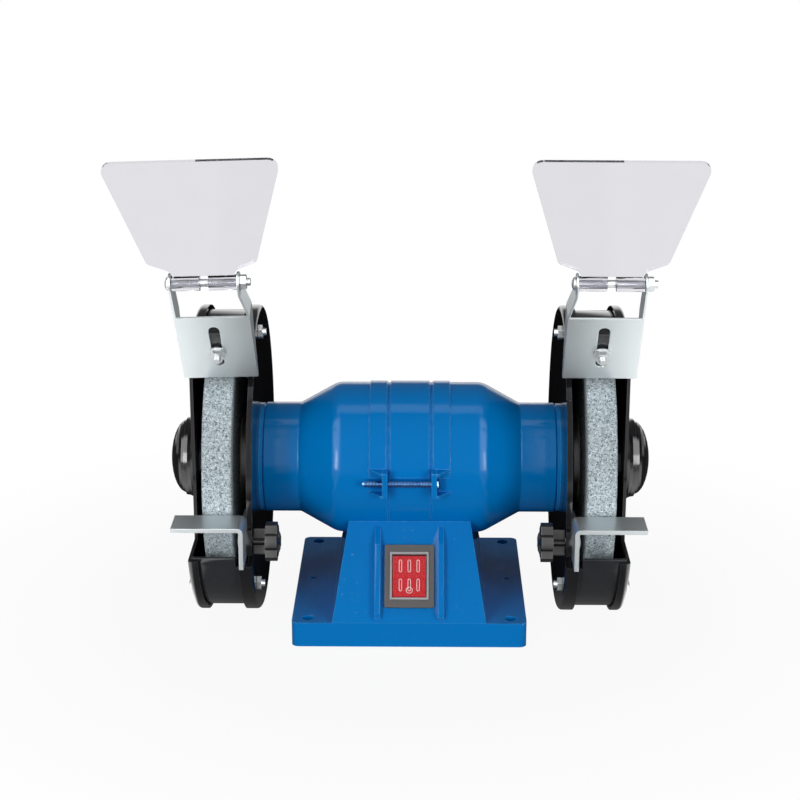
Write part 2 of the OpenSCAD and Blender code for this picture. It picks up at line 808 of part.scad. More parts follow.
// A flange's profile from its bore, dished so that its rim grips the wheel.
module flange(x, faces_out) {
    lip = 5;
    along_shaft(x) mirror([0, 0, faces_out ? 0 : 1]) rotate_extrude($fn = smooth_fn) polygon([
        [spindle_r + fit, 0], [flange_r - 1, 0], [flange_r, 1], [flange_r, flange_t],
        [flange_r - lip, flange_t], [flange_r - lip - 0.6, flange_t - 0.6],
        [spindle_r + 3, flange_t - 0.6], [spindle_r + fit, flange_t - 0.6]
    ]);
}

module inner_flanges() {
    color(steel) on_both_sides() flange(shoulder_x, true);
}

module outer_flanges() {
    color(steel) on_both_sides() flange(nut_x, false);
}

module wheel(side) {
    bevel = 0.8;
    bore = spindle_r + 0.1;
    color("#a9b6b4") on_side(side) along_shaft(wheel_in_x) rotate_extrude($fn = smooth_fn) polygon([
        [bore, 0], [wheel_r - bevel, 0], [wheel_r, bevel],
        [wheel_r, wheel_t - bevel], [wheel_r - bevel, wheel_t], [bore, wheel_t]
    ]);
}

module wheel_left() {
    wheel(LEFT);
}

module wheel_right() {
    wheel(RIGHT);
}

module wheel_washers() {
    color("#d8c48a") on_both_sides() for (x = [wheel_in_x - paper_t, wheel_out_x])
        ring(flange_r - 0.3, spindle_r + 0.3, x, x + paper_t, small_fn);
}

module spindle_nuts() {
    color(zinc) on_both_sides() along_shaft(nut_x) hex_nut(spindle_nut_w, nut_h, thread_r + fit);
}

// ---- guards ----

mount_screw_r = 26;
mount_screws = 3;
rim_round = 2.2;
guard_to = 360 - lip_angle;
guard_from = opening_angle + 4;
rim_to = guard_to - 2.5;
lip_notch = 6.5;
tab_w = 24;
tab_up = 12;
tab_down = clamp_r - band_r + band_t / 2;
clamp_d = 4;
rest_bolt_angle = -atan2(shaft_h - rest_bolt_z, rest_bolt_y);
rest_bolt_r = norm([shaft_h - rest_bolt_z, rest_bolt_y]);

module mount_screw_places(x) {
    for (i = [0 : mount_screws - 1])
        at_shaft_angle(mount_screw_r, 30 + i * 360 / mount_screws, x) children();
}

module guard_screw_places(x) {
    for (angle = guard_screw_angles) at_shaft_angle(guard_screw_r, angle, x) children();
}

// Revolves a profile of [radius, x] points about the shaft between two angles.
module shaft_revolve(points, from, to) {
    translate([0, 0, shaft_h]) rotate([0, 90, 0]) rotate([0, 0, 270 - to])
        rotate_extrude(angle = to - from, $fn = smooth_fn) polygon(points);
}

module guard_back(side) {
    rim_x = guard_in_x + back_rim_w;
    full_web = [
        [open_web_r - 2, guard_in_x], [guard_r, guard_in_x], [guard_r, web_in], [open_web_r - 2, web_in]
    ];
    rim = concat(
        [[band_r + fit, guard_in_x]],
        corner_arc([band_r, guard_in_x], [guard_r, guard_in_x], [guard_r, rim_x], rim_round),
        [[guard_r, rim_x], [band_r + fit, rim_x]]
    );
    color(black) on_side(side) difference() {
        union() {
            disc(open_web_r, guard_in_x, web_in);
            shaft_revolve([[open_web_r - 2, guard_in_x], [band_r + 1, guard_in_x], [band_r + 1, web_in], [open_web_r - 2, web_in]], guard_from, rim_to);
            shaft_revolve(rim, guard_from, rim_to);
            at_shaft_angle(rest_bolt_r, rest_bolt_angle, guard_in_x) cylinder(r = 8.5, h = guard_web, $fn = small_fn);
        }
        disc(hub_r + 2, guard_in_x - 1, web_in + 1);
        mount_screw_places(guard_in_x - 1)
            cylinder(r = mount_screw_d / 2 + slide_gap, h = guard_web + 2, $fn = small_fn);
        guard_screw_places(guard_in_x - 1) cylinder(r = guard_screw_d / 2 + fit, h = guard_web + 2, $fn = small_fn);
        at_shaft_angle(rest_bolt_r, rest_bolt_angle, guard_in_x - 1)
            cylinder(r = rest_bolt_d / 2 + slide_gap, h = guard_web + 2, $fn = small_fn);
    }
}

module guard_back_left() {
    guard_back(LEFT);
}

module guard_back_right() {
    guard_back(RIGHT);
}

module guard_mount_screws() {
    color(zinc) on_both_sides() mount_screw_places(web_in) dome_screw(mount_screw_d, mount_screw_l);
}

// The bracket's place: origin at its clamp screw on the plate's front face, X across,
// Z up the plate, Y into the guard.
module at_clamp(side, turn = 0) {
    on_side(side) translate(about_shaft(clamp_r, clamp_angle) + [bracket_x, 0, 0])
        rotate([bracket_lean, 0, 0]) rotate([0, turn, 0]) children();
}

function bracket_turn(side) = side == LEFT ? left_bracket_turn : right_bracket_turn;

module guard_band(side) {
    tab_y = bracket_t + slide_gap;
    color(black) difference() {
        union() {
            difference() {
                on_side(side) sector(band_r, band_r - band_t, web_in, cover_in, opening_angle - 6, guard_to);
                at_clamp(side) translate([-bracket_w, tab_y - bracket_l, -bracket_l])
                    cube([2 * bracket_w, bracket_l, 2 * bracket_l]);
            }
            at_clamp(side) translate([0, tab_y + band_t, 0]) rotate([90, 0, 0]) linear_extrude(band_t) union() {
                translate([-tab_w / 2, -tab_down]) square([tab_w, tab_down + tab_up - 4]);
                translate([4 - tab_w / 2, 0]) square([tab_w - 8, tab_up]);
                for (x = [-1, 1])
                    translate([x * (tab_w / 2 - 4), tab_up - 4]) circle(r = 4, $fn = small_fn);
            }
        }
        at_clamp(side) rotate([-90, 0, 0]) cylinder(r = clamp_d / 2 + fit, h = 10, $fn = small_fn);
        on_side(side) sector(band_r + 1, band_r - band_t - 1, web_in - 1, web_in + lip_notch,
            guard_to - 5, guard_to + 2);
    }
}

module guard_band_left() {
    guard_band(LEFT);
}

module guard_band_right() {
    guard_band(RIGHT);
}

// Outline of the dome from its foot to its tip, as [radius, x] points.
function dome_line(inset) =
    let (
        foot = dome_r - inset,
        cap = dome_cap_r - inset,
        base_x = guard_out_x - inset,
        step_x = guard_out_x + 0.48 * dome_h - inset,
        tip_x = guard_out_x + dome_h - inset
    )
    concat(
        [for (a = [0 : 15 : 90]) [foot - (foot - cap - 1.2) * sin(a), base_x + (step_x - base_x) * (1 - cos(a))]],
        [for (a = [90 : -10 : 10]) [cap * sin(a), step_x + (tip_x - step_x) * cos(a)]],
        [[0, tip_x]]
    );

module side_cover(side) {
    rim_in = guard_out_x - cover_rim_w;
    rim_inner_r = band_r + 1;
    outline = concat(
        [[guard_r, rim_in]],
        corner_arc([guard_r, rim_in], [guard_r, guard_out_x], [dome_r, guard_out_x], rim_round),
        dome_line(0)
    );
    inner = dome_line(cover_t);
    inside = concat(
        [for (i = [len(inner) - 1 : -1 : 0]) inner[i]],
        [[rim_inner_r, cover_in], [rim_inner_r, rim_in]]
    );
    color(black) on_side(side) difference() {
        along_shaft() rotate_extrude($fn = smooth_fn) polygon(concat(outline, inside));
        translate([cover_in - dome_h, -2 * guard_r, shaft_h - guard_r * sin(lip_angle)])
            cube([3 * dome_h, 2 * guard_r - cover_cut_y, 2 * guard_r]);
        guard_screw_places(cover_in - 1) cylinder(r = guard_screw_d / 2 + fit, h = cover_t + 2, $fn = small_fn);
    }
}

module side_cover_left() {
    side_cover(LEFT);
}

module side_cover_right() {
    side_cover(RIGHT);
}

module guard_screws() {
    tail = 4.6;
    color(zinc) on_both_sides() guard_screw_places(guard_out_x)
        dome_screw(guard_screw_d, guard_out_x - guard_in_x + tail);
}

module guard_nuts() {
    h = 2.6;
    color(steel) on_both_sides() guard_screw_places(guard_in_x - h) hex_nut(nut_w(guard_screw_d), h, guard_screw_d / 2 + fit);
}

// ---- tool rests ----

rest_back_y = rest_bolt_y - 13;
rest_slide_in = 1;
star_x = guard_in_x - turn_gap - 6.6;
star_lobes = 5;

// Side view of the rest: a plate bent down at its inner end.
module tool_rest(side) {
    bend = 3;
    profile = rounded([
        [rest_in_x, rest_z, bend], [rest_out_x, rest_z, 0], [rest_out_x, rest_z - rest_t, 0],
        [rest_in_x + rest_t, rest_z - rest_t, bend - rest_t],
        [rest_in_x + rest_t, rest_z - rest_flange_h, 0], [rest_in_x, rest_z - rest_flange_h, 0]
    ]);
    slot_from = rest_bolt_y + rest_slide_in;
    slot_to = rest_bolt_y - rest_travel;
    slot_r = rest_bolt_d / 2 + slide_gap;
    color(zinc) on_side(side) difference() {
        union() {
            translate([0, -rest_y, 0]) rotate([90, 0, 0]) linear_extrude(rest_depth) polygon(profile);
            translate([rest_in_x, -rest_y - 1, rest_z - rest_flange_h])
                cube([rest_t, rest_y + 1 - rest_back_y, rest_flange_h - bend]);
        }
        for (y = [slot_from, slot_to])
            translate([rest_in_x - 1, -y, rest_bolt_z]) rotate([0, 90, 0])
                cylinder(r = slot_r, h = rest_t + 2, $fn = small_fn);
        translate([rest_in_x - 1, -slot_from, rest_bolt_z - slot_r])
            cube([rest_t + 2, slot_from - slot_to, 2 * slot_r]);
    }
}

module tool_rest_left() {
    tool_rest(LEFT);
}

module tool_rest_right() {
    tool_rest(RIGHT);
}

module rest_bolt(side) {
    head_x = rest_in_x + rest_t + slide_gap;
    color(zinc) on_side(side) translate([head_x, -rest_bolt_y, rest_bolt_z]) rotate([0, 90, 0])
        dome_screw(rest_bolt_d, head_x - star_x, drive = "plain");
}

module rest_bolt_left() {
    rest_bolt(LEFT);
}

module rest_bolt_right() {
    rest_bolt(RIGHT);
}

module rest_knob(side) {
    lobe_r = 3.4;
    bulge = 1.6;
    color(black) on_side(side) translate([star_x, -rest_bolt_y, rest_bolt_z]) rotate([0, -90, 0]) difference() {
        union() {
            translate([0, 0, star_x - guard_in_x + turn_gap]) cylinder(r = knob_hub_r, h = guard_in_x - turn_gap - star_x + 1, $fn = small_fn);
            linear_extrude(knob_t) union() {
                circle(r = knob_r - lobe_r, $fn = small_fn);
                for (i = [0 : star_lobes - 1]) rotate(i * 360 / star_lobes) {
                    translate([knob_r - lobe_r, 0]) circle(r = lobe_r, $fn = small_fn);
                    translate([0, -lobe_r]) square([knob_r - lobe_r, 2 * lobe_r]);
                }
            }
            translate([0, 0, knob_t - eps]) rotate_extrude($fn = small_fn) polygon(concat(
                [[0, 0]], [for (a = [0 : 15 : 90]) [(knob_r - lobe_r) * cos(a), bulge * sin(a)]]
            ));
        }
        translate([0, 0, star_x - guard_in_x - 1]) cylinder(r = rest_bolt_d / 2 + fit, h = guard_in_x - star_x + 1 + 0.3, $fn = small_fn);
    }
}

module rest_knob_left() {
    rest_knob(LEFT);
}

module rest_knob_right() {
    rest_knob(RIGHT);
}

// ---- shield brackets ----

ear_hole_r = hinge_d / 2 + fit;
flange_depth = 12.5;
flange_low = 2.5;

// Side view of a flange behind the plate, with the ear of the hinge at its top.
module bracket_flange(thick) {
    top = bracket_l - clamp_up;
    rotate([90, 0, 90]) linear_extrude(thick) union() {
        polygon([
            [0, -clamp_up], [flange_low, -clamp_up], [flange_depth, top - 4],
            [hinge_y + ear_r, hinge_z], [hinge_y - ear_r, hinge_z], [0, top]
        ]);
        translate([hinge_y, hinge_z]) circle(r = ear_r, $fn = small_fn);
    }
}

module shield_bracket(side) {
    inside = bracket_w / 2 - bracket_t;
    top = bracket_l - clamp_up;
    slot_low = -clamp_up + 9;
    joggle = [
        [0, -clamp_up - 1], [0, top], [ear_set_in, hinge_z - ear_r], [ear_set_in, hinge_z + ear_r + 1],
        [ear_set_in + bracket_t, hinge_z + ear_r + 1], [ear_set_in + bracket_t, hinge_z - ear_r],
        [bracket_t, top], [bracket_t, -clamp_up - 1]
    ];
    color(zinc) at_clamp(side, bracket_turn(side)) difference() {
        union() {
            translate([-bracket_w / 2 + 1, 0, -clamp_up]) cube([bracket_w - 2, bracket_t, bracket_l]);
            translate([inside, 0, 0]) bracket_flange(bracket_t);
            intersection() {
                translate([-bracket_w / 2, 0, 0]) bracket_flange(bracket_w / 2);
                translate([-bracket_w / 2, 0, 0]) rotate([90, 0, 0])
                    linear_extrude(4 * flange_depth, center = true) polygon(joggle);
            }
        }
        for (z = [slot_low + slot_w / 2, slot_low + slot_l - slot_w / 2])
            translate([0, -1, z]) rotate([-90, 0, 0]) cylinder(r = slot_w / 2, h = bracket_t + 2, $fn = small_fn);
        translate([-slot_w / 2, -1, slot_low + slot_w / 2]) cube([slot_w, bracket_t + 2, slot_l - slot_w]);
        translate([-bracket_w, hinge_y, hinge_z]) rotate([0, 90, 0])
            cylinder(r = ear_hole_r, h = 2 * bracket_w, $fn = small_fn);
    }
}

module shield_bracket_left() {
    shield_bracket(LEFT);
}

module shield_bracket_right() {
    shield_bracket(RIGHT);
}

// The clamp screws stay in the guard's tabs while the brackets slide past them.
module bracket_screws() {
    back = bracket_t + slide_gap + band_t;
    head_h = 2.8;
    tail = 7;
    color(zinc) for (side = [LEFT, RIGHT]) at_clamp(side) translate([0, back, 0]) rotate([-90, 0, 0]) {
        cylinder(r = nut_w(clamp_d) / sqrt(3), h = head_h, $fn = 6);
        translate([0, 0, -back - tail]) cylinder(r = clamp_d / 2, h = back + tail + eps, $fn = small_fn);
    }
}

module bracket_nuts() {
    washer_r = 4.6;
    washer_h = 0.9;
    nut_t = 3.2;
    color(zinc) for (side = [LEFT, RIGHT]) at_clamp(side) rotate([90, 0, 0]) translate([0, 0, slide_gap]) {
        difference() {
            cylinder(r = washer_r, h = washer_h, $fn = small_fn);
            translate([0, 0, -1]) cylinder(r = clamp_d / 2 + fit, h = 3, $fn = small_fn);
        }
        translate([0, 0, washer_h]) hex_nut(nut_w(clamp_d), nut_t, clamp_d / 2 + fit);
    }
}

// ---- eye shields ----

module at_hinge(side) {
    at_clamp(side, bracket_turn(side)) translate([ear_set_in / 2, hinge_y, hinge_z]) children();
}

// The head is at the operator's left on both brackets, and the nut at the right.
module hinge_screw(side) {
    nut_t = 3.4;
    tail = 2.1;
    color(zinc) at_hinge(side) mirror([side == LEFT ? 1 : 0, 0, 0]) {
        translate([-hinge_half, 0, 0]) rotate([0, -90, 0])
            dome_screw(hinge_d, 2 * hinge_half + nut_t + tail);
        translate([hinge_half + fit, 0, 0]) rotate([0, 90, 0]) hex_nut(nut_w(hinge_d), nut_t, hinge_d / 2 + fit);
    }
}

module hinge_screw_left() {
    hinge_screw(LEFT);
}

module hinge_screw_right() {
    hinge_screw(RIGHT);
}

module eye_shield(side) {
    knuckle_out = hinge_half - bracket_t - turn_gap;
    knuckle_in = 2.4;
    neck_half = knuckle_out + 0.6;
    neck_up = 8.3;
    half = [
        [knuckle_out - 1.4, 0, 0], [knuckle_out - 1.4, 4, 0], [neck_half, neck_up, 2],
        [shield_low_half, shield_shoulder, 3], [shield_top_half, shield_h, 5.2]
    ];
    outline = concat(half, [for (i = [len(half) - 1 : -1 : 0]) [-half[i].x, half[i].y, half[i].z]]);
    color([0.87, 0.87, 0.9, 0.4]) at_hinge(side) rotate([shield_lean - bracket_lean, 0, 0]) difference() {
        union() {
            translate([0, shield_t / 2, 0]) rotate([90, 0, 0]) linear_extrude(shield_t) polygon(rounded(outline));
            for (x = [-knuckle_out, knuckle_in]) translate([x, 0, 0])
                rotate([0, 90, 0]) cylinder(r = knuckle_r, h = knuckle_out - knuckle_in, $fn = small_fn);
        }
        translate([-knuckle_in, -knuckle_r - 1, -knuckle_r - 1])
            cube([2 * knuckle_in, 2 * knuckle_r + 2, 2 * knuckle_r + 2]);
        translate([-bracket_w, 0, 0]) rotate([0, 90, 0])
            cylinder(r = hinge_d / 2 + 0.06, h = 2 * bracket_w, $fn = small_fn);
    }
}

module eye_shield_left() {
    eye_shield(LEFT);
}

module eye_shield_right() {
    eye_shield(RIGHT);
}

base_casting();
bottom_cover();
bottom_cover_screws();
cable_gland();
capacitor();
capacitor_clamp();
capacitor_clamp_screw();
switch_housing();
switch_frame();
switch_rocker();
switch_terminals();
stator_shell();
end_bell_left();
end_bell_right();
tie_screws();
saddle_screws();
stator_core();
windings();
bearing_outer_races();
preload_washer();
bearing_balls();
bearing_inner_races();
shaft();
rotor_core();
inner_flanges();
wheel_left();
wheel_right();
wheel_washers();
outer_flanges();
spindle_nuts();
guard_back_left();
guard_back_right();
guard_mount_screws();
guard_band_left();
guard_band_right();
side_cover_left();
side_cover_right();
guard_screws();
guard_nuts();
tool_rest_left();
tool_rest_right();
rest_bolt_left();
rest_bolt_right();
rest_knob_left();
rest_knob_right();
shield_bracket_left();
shield_bracket_right();
bracket_screws();
bracket_nuts();
hinge_screw_left();
hinge_screw_right();
eye_shield_left();
eye_shield_right();
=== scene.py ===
"""Looks of a bench grinder: gloss enamel, zinc plate, abrasive wheels and clear eye shields."""

from __future__ import annotations

import logging
from collections.abc import Callable, Sequence
from dataclasses import dataclass
from enum import Enum
from math import atan2, copysign, cos, pi, radians, sin, sqrt, tan, tau

import bpy
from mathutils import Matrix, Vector

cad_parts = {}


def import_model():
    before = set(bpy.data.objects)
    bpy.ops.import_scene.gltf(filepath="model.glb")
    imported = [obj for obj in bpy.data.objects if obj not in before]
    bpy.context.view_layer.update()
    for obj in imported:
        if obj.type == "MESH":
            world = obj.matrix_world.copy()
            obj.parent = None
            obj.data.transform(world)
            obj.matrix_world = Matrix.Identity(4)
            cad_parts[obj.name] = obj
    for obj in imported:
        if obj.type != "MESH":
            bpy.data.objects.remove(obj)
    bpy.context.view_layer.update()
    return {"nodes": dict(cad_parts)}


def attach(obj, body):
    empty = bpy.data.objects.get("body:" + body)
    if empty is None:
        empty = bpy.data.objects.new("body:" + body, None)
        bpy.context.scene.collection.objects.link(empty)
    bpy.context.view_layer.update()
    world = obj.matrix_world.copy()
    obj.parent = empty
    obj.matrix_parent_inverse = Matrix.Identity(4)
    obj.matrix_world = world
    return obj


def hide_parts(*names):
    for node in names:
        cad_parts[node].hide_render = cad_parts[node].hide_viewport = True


Colour = tuple[float, float, float]
Pair = tuple[float, float]
Spot = tuple[float, float, float]
Piece = bpy.types.Object
Socket = bpy.types.NodeSocket
Outputs = bpy.types.NodeOutputs
Value = float | Colour | Socket
Inputs = dict[str | int, Value]

MM = 0.001
SAME_POINT = 2e-6
LOG = logging.getLogger("bench_grinder")


class Side(Enum):
    """The two ends of the shaft, as the sign of their X."""

    LEFT = -1
    RIGHT = 1

    @property
    def word(self) -> str:
        """The side's name as the nodes spell it."""
        return self.name.lower()


# ---- shader tools ----


@dataclass(frozen=True)
class Cells:
    """One scale of noise: cells for each metre, octaves and the weight of the finer ones."""

    count: float
    octaves: float = 2.0
    weight: float = 0.5


@dataclass(frozen=True)
class Ramp:
    """A change of level between two values, held beyond them."""

    low: float
    high: float
    start: float = 0.0
    end: float = 1.0


class Graph:
    """A node tree that is filled step by step, for a material, a world or a group."""

    def __init__(self, tree: bpy.types.NodeTree) -> None:
        """Clears the tree and keeps it."""
        self.tree = tree
        tree.nodes.clear()

    def add(self, kind: str, inputs: Inputs | None = None, **settings: object) -> bpy.types.Node:
        """Adds a node.

        Args:
            kind: The node's type without its ShaderNode prefix, or its full name.
            inputs: For an input, by name or place, its plain value or what is linked to it.
            settings: Properties to set on the node.

        Returns:
            The new node.
        """
        node = self.tree.nodes.new(kind if kind.startswith("Node") else f"ShaderNode{kind}")
        for key, value in settings.items():
            setattr(node, key, value)
        for key, value in (inputs or {}).items():
            socket = node.inputs[key]
            if isinstance(value, Socket):
                self.tree.links.new(value, socket)
            else:
                socket.default_value = (*value, 1.0) if socket.type == "RGBA" else value
        return node

    def place(self) -> Socket:
        """The object coordinates, in metres."""
        return self.add("TexCoord").outputs["Object"]

    def noise(self, cells: Cells, vector: Socket | None = None) -> Socket:
        """Adds a noise, on the object's coordinates or on those that are given."""
        scale = {"Scale": cells.count, "Detail": cells.octaves, "Roughness": cells.weight}
        return self.add("TexNoise", {**scale, "Vector": vector or self.place()}).outputs[0]

    def remap(self, value: Socket, ramp: Ramp) -> Socket:
        """Maps a value by a ramp and clamps it."""
        return self.add("MapRange", {"Value": value, "From Min": ramp.low, "From Max": ramp.high,
                                     "To Min": ramp.start, "To Max": ramp.end}).outputs[0]

    def rise(self, mask: Socket, start: float, more: float) -> Socket:
        """Gives a level at a mask of 0 and so much more of it at 1."""
        return self.remap(mask, Ramp(0.0, 1.0, start, start + more))

    def blend(self, factor: Socket, a: Colour | Socket, b: Colour | Socket) -> Socket:
        """Mixes two colours: the first at a factor of 0, the second at 1."""
        return self.add("Mix", {0: factor, 6: a, 7: b}, data_type="RGBA").outputs[2]

    def maths(self, operation: str, a: Socket, b: Socket | float = 0.0) -> Socket:
        """Does one sum, such as ADD, on two terms."""
        return self.add("Math", {0: a, 1: b}, operation=operation).outputs[0]

    def times(self, a: Socket, b: Socket | float) -> Socket:
        """Multiplies two values."""
        return self.maths("MULTIPLY", a, b)

    def plus(self, a: Socket, b: Socket | float) -> Socket:
        """Adds two values."""
        return self.maths("ADD", a, b)

    def bump(self, height: Socket, depth_mm: float) -> Socket:
        """Makes a normal from a height, where a height of 1 stands for the depth."""
        return self.add("Bump", {"Strength": 1.0, "Distance": depth_mm * MM,
                                 "Height": height}).outputs[0]

    def glow(self, kind: str, level: Socket | float) -> Socket:
        """Adds a white Emission or Background of a given level."""
        return self.add(kind, {"Color": (1.0, 1.0, 1.0), "Strength": level}).outputs[0]

    def mixed(self, factor: Socket, a: Socket, b: Socket) -> Socket:
        """Mixes two shaders: the first at a factor of 0, the second at 1."""
        return self.add("MixShader", {0: factor, 1: a, 2: b}).outputs[0]

    def by_ray(self, kind: str, soft: Socket, mirrored: Socket, share: float | Socket) -> Socket:
        """Lights the object softly, and shows mirrors another light and the camera white.

        A ray through glass also counts as a mirror's, so the white is mixed last.

        Args:
            kind: Emission or Background.
            soft: The shader that lights the object.
            mirrored: Level of what mirrors see.
            share: The camera's share of the white.

        Returns:
            The whole shader.
        """
        path = self.add("LightPath").outputs
        unseen = self.mixed(path["Is Glossy Ray"], soft, self.glow(kind, mirrored))
        seen = self.maths("MAXIMUM", path["Is Camera Ray"], path["Is Transmission Ray"])
        return self.mixed(self.times(seen, share), unseen, self.glow(kind, 1.0))


class Effect(Graph):
    """An effect that several finishes share, drawn on a node group that is built once."""

    name: str
    inputs: dict[str, float]
    given: Outputs

    def draw(self) -> Inputs:
        """Gives the group's results by name; each effect does this in its own way."""
        raise NotImplementedError

    @classmethod
    def lay(cls, graph: Graph, **values: float) -> Outputs:
        """Places the effect in a material, with its own inputs, and gives its results."""
        tree = bpy.data.node_groups.get(cls.name) or cls.build()
        return graph.add("Group", values, node_tree=tree).outputs

    @classmethod
    def build(cls) -> bpy.types.NodeTree:
        """Makes the group with its sockets.

        Returns:
            The group.
        """
        tree = bpy.data.node_groups.new(cls.name, "ShaderNodeTree")
        sockets, kind = tree.interface, "NodeSocketFloat"
        for name, value in cls.inputs.items():
            sockets.new_socket(name, in_out="INPUT", socket_type=kind).default_value = value
        group = cls(tree)
        group.given = group.add("NodeGroupInput").outputs
        results = group.draw()
        for name in results:
            sockets.new_socket(name, in_out="OUTPUT", socket_type=kind)
        group.add("NodeGroupOutput", results)
        return tree


class OrangePeel(Effect):
    """The soft waves of sprayed enamel, with dust nibs and a haze."""

    name = "orange_peel"
    inputs = {"Scale": 1.0}
    waves, wave_share = Cells(230.0, 1.0, 0.4), 0.5
    swell, swell_share = Cells(60.0, 1.0), 1.6
    nibs, nib_ramp = Cells(900.0, 0.0), Ramp(0.78, 0.86, 0.0, 0.5)
    haze, haze_ramp = Cells(26.0, 4.0, 0.6), Ramp(0.35, 0.7)

    def draw(self) -> Inputs:
        """Draws the height and a mask of haze.

        Returns:
            The results by name.
        """
        at = self.add("VectorMath", {0: self.place(), "Scale": self.given["Scale"]},
                      operation="SCALE").outputs[0]
        height = self.plus(self.times(self.noise(self.waves, at), self.wave_share),
                           self.times(self.noise(self.swell, at), self.swell_share))
        nibs = self.remap(self.noise(self.nibs, at), self.nib_ramp)
        return {"Height": self.plus(height, nibs),
                "Haze": self.remap(self.noise(self.haze, at), self.haze_ramp)}


class EdgeWearAndHighlight(Effect):
    """The proud edges of a piece, broken up in patches: wear and painted edge highlights."""

    name = "edge_wear_and_highlight"
    inputs = {"Reach": 0.5, "Breakup": 0.5}
    radius_mm = 0.7
    proud = Ramp(0.995, 0.92)
    patches, patch_ramp, least = Cells(340.0, 3.0, 0.6), Ramp(0.42, 0.72), 0.3

    def draw(self) -> Inputs:
        """Draws a mask, 1 on a worn edge and on a painted edge highlight.

        Returns:
            The results by name.
        """
        rounded = self.add("Bevel", {"Radius": self.radius_mm * MM}, samples=4).outputs[0]
        normal = self.add("NewGeometry").outputs["Normal"]
        bend = self.add("VectorMath", {0: rounded, 1: normal}, operation="DOT_PRODUCT")
        patch = self.remap(self.noise(self.patches), self.patch_ramp)
        reach = self.times(self.remap(bend.outputs["Value"], self.proud), self.given["Reach"])
        broken = self.plus(self.times(patch, self.given["Breakup"]), self.least)
        return {"Mask": self.times(reach, broken)}


class PlateGrain(Effect):
    """The faint rolled streaks and clouds of bright zinc plate."""

    name = "plate_grain"
    inputs = {"Stretch": 9.0}
    streaks, streak_share = Cells(160.0, 3.0, 0.55), 0.25
    clouds = Cells(70.0, 3.0)
    ramp = Ramp(0.3, 0.7)

    def draw(self) -> Inputs:
        """Draws the height and masks of streaks and clouds.

        Returns:
            The results by name.
        """
        x, y, z = self.add("SeparateXYZ", {0: self.place()}).outputs
        drawn_out = self.add("CombineXYZ", {0: self.times(x, self.given["Stretch"]), 1: y, 2: z})
        streaks = self.noise(self.streaks, drawn_out.outputs[0])
        clouds = self.noise(self.clouds)
        return {"Height": self.plus(self.times(streaks, self.streak_share), clouds),
                "Streaks": self.remap(streaks, self.ramp),
                "Clouds": self.remap(clouds, self.ramp)}


class Grit(Effect):
    """The open grain of a vitrified wheel."""

    name = "grit"
    inputs = {"Grain": 1100.0}
    clumps, pit_share = Cells(640.0, 4.0, 0.6), -0.8
    pale, pale_clump = Ramp(0.45, 0.95), Ramp(0.35, 0.6)
    dark, dark_clump = Ramp(0.5, 0.8), Ramp(0.62, 0.45)

    def draw(self) -> Inputs:
        """Draws the height and masks of pale and dark grains.

        Returns:
            The results by name.
        """
        cells = self.add("TexVoronoi", {"Vector": self.place(), "Scale": self.given["Grain"]})
        red, green, _ = self.add("SeparateColor", {0: cells.outputs["Color"]}).outputs
        clumps = self.noise(self.clumps)
        pits = self.times(cells.outputs["Distance"], self.pit_share)
        return {"Height": self.plus(pits, clumps),
                "Pale": self.times(self.remap(red, self.pale),
                                   self.remap(clumps, self.pale_clump)),
                "Dark": self.times(self.remap(green, self.dark),
                                   self.remap(clumps, self.dark_clump))}


# ---- finishes ----


def shade(colour: Colour, share: float, lift: float = 0.0) -> Colour:
    """Makes a colour darker or paler by a share of each channel and a lift."""
    return tuple(min(1.0, channel * share + lift) for channel in colour)


@dataclass(frozen=True)
class Finish:
    """A finish makes its material once and hands it out again."""

    name: str
    colour: Colour

    def lay(self, graph: Graph) -> Inputs:
        """Gives the shader's inputs; each finish does this in its own way."""
        raise NotImplementedError

    def material(self) -> bpy.types.Material:
        """Gives the finish's material.

        Returns:
            The material, made on the first call.
        """
        known = bpy.data.materials.get(self.name)
        if known:
            return known
        made = bpy.data.materials.new(self.name)
        made.use_nodes = True
        graph = Graph(made.node_tree)
        shader = graph.add("BsdfPrincipled", self.lay(graph))
        graph.add("OutputMaterial", {"Surface": shader.outputs[0]})
        return made


@dataclass(frozen=True)
class Enamel(Finish):
    """Gloss enamel over a casting or a pressing."""

    wear_and_highlight_tone: Colour
    peel_mm: float = 0.012
    gloss: float = 0.12
    shine: float = 0.5

    def lay(self, graph: Graph) -> Inputs:
        """Lays the colour, the haze, the peel and pale edges: wear and painted highlights.

        Args:
            graph: The material's graph.

        Returns:
            The shader's inputs.
        """
        peel = OrangePeel.lay(graph, Scale=1.0)
        wear_and_highlight = EdgeWearAndHighlight.lay(graph, Reach=0.7, Breakup=0.6)
        tone = graph.blend(peel["Haze"], self.colour, shade(self.colour, share=0.98))
        # Pale edges: partly wear, partly a painted highlight on the fillets.
        return {"Base Color": graph.blend(wear_and_highlight["Mask"], tone, self.wear_and_highlight_tone),
                "Roughness": graph.rise(peel["Haze"], self.gloss, more=0.04),
                "Specular IOR Level": self.shine,
                "Normal": graph.bump(peel["Height"], self.peel_mm)}


@dataclass(frozen=True)
class ZincPlate(Finish):
    """Bright zinc plate on sheet or screws."""

    tint: Colour
    roughness: float
    stretch: float = 2.0
    wave_mm: float = 0.01
    streak: float = 0.35

    def lay(self, graph: Graph) -> Inputs:
        """Lays the plate's tint in clouds, its streaks and its slight waves.

        Args:
            graph: The material's graph.

        Returns:
            The shader's inputs.
        """
        grain = PlateGrain.lay(graph, Stretch=self.stretch)
        tone = graph.blend(grain["Clouds"], self.colour, self.tint)
        faint = graph.times(grain["Streaks"], self.streak)
        return {"Base Color": graph.blend(faint, tone, shade(self.tint, share=0.82)),
                "Metallic": 1.0,
                "Roughness": graph.rise(grain["Streaks"], self.roughness, more=0.05),
                "Normal": graph.bump(grain["Height"], self.wave_mm)}


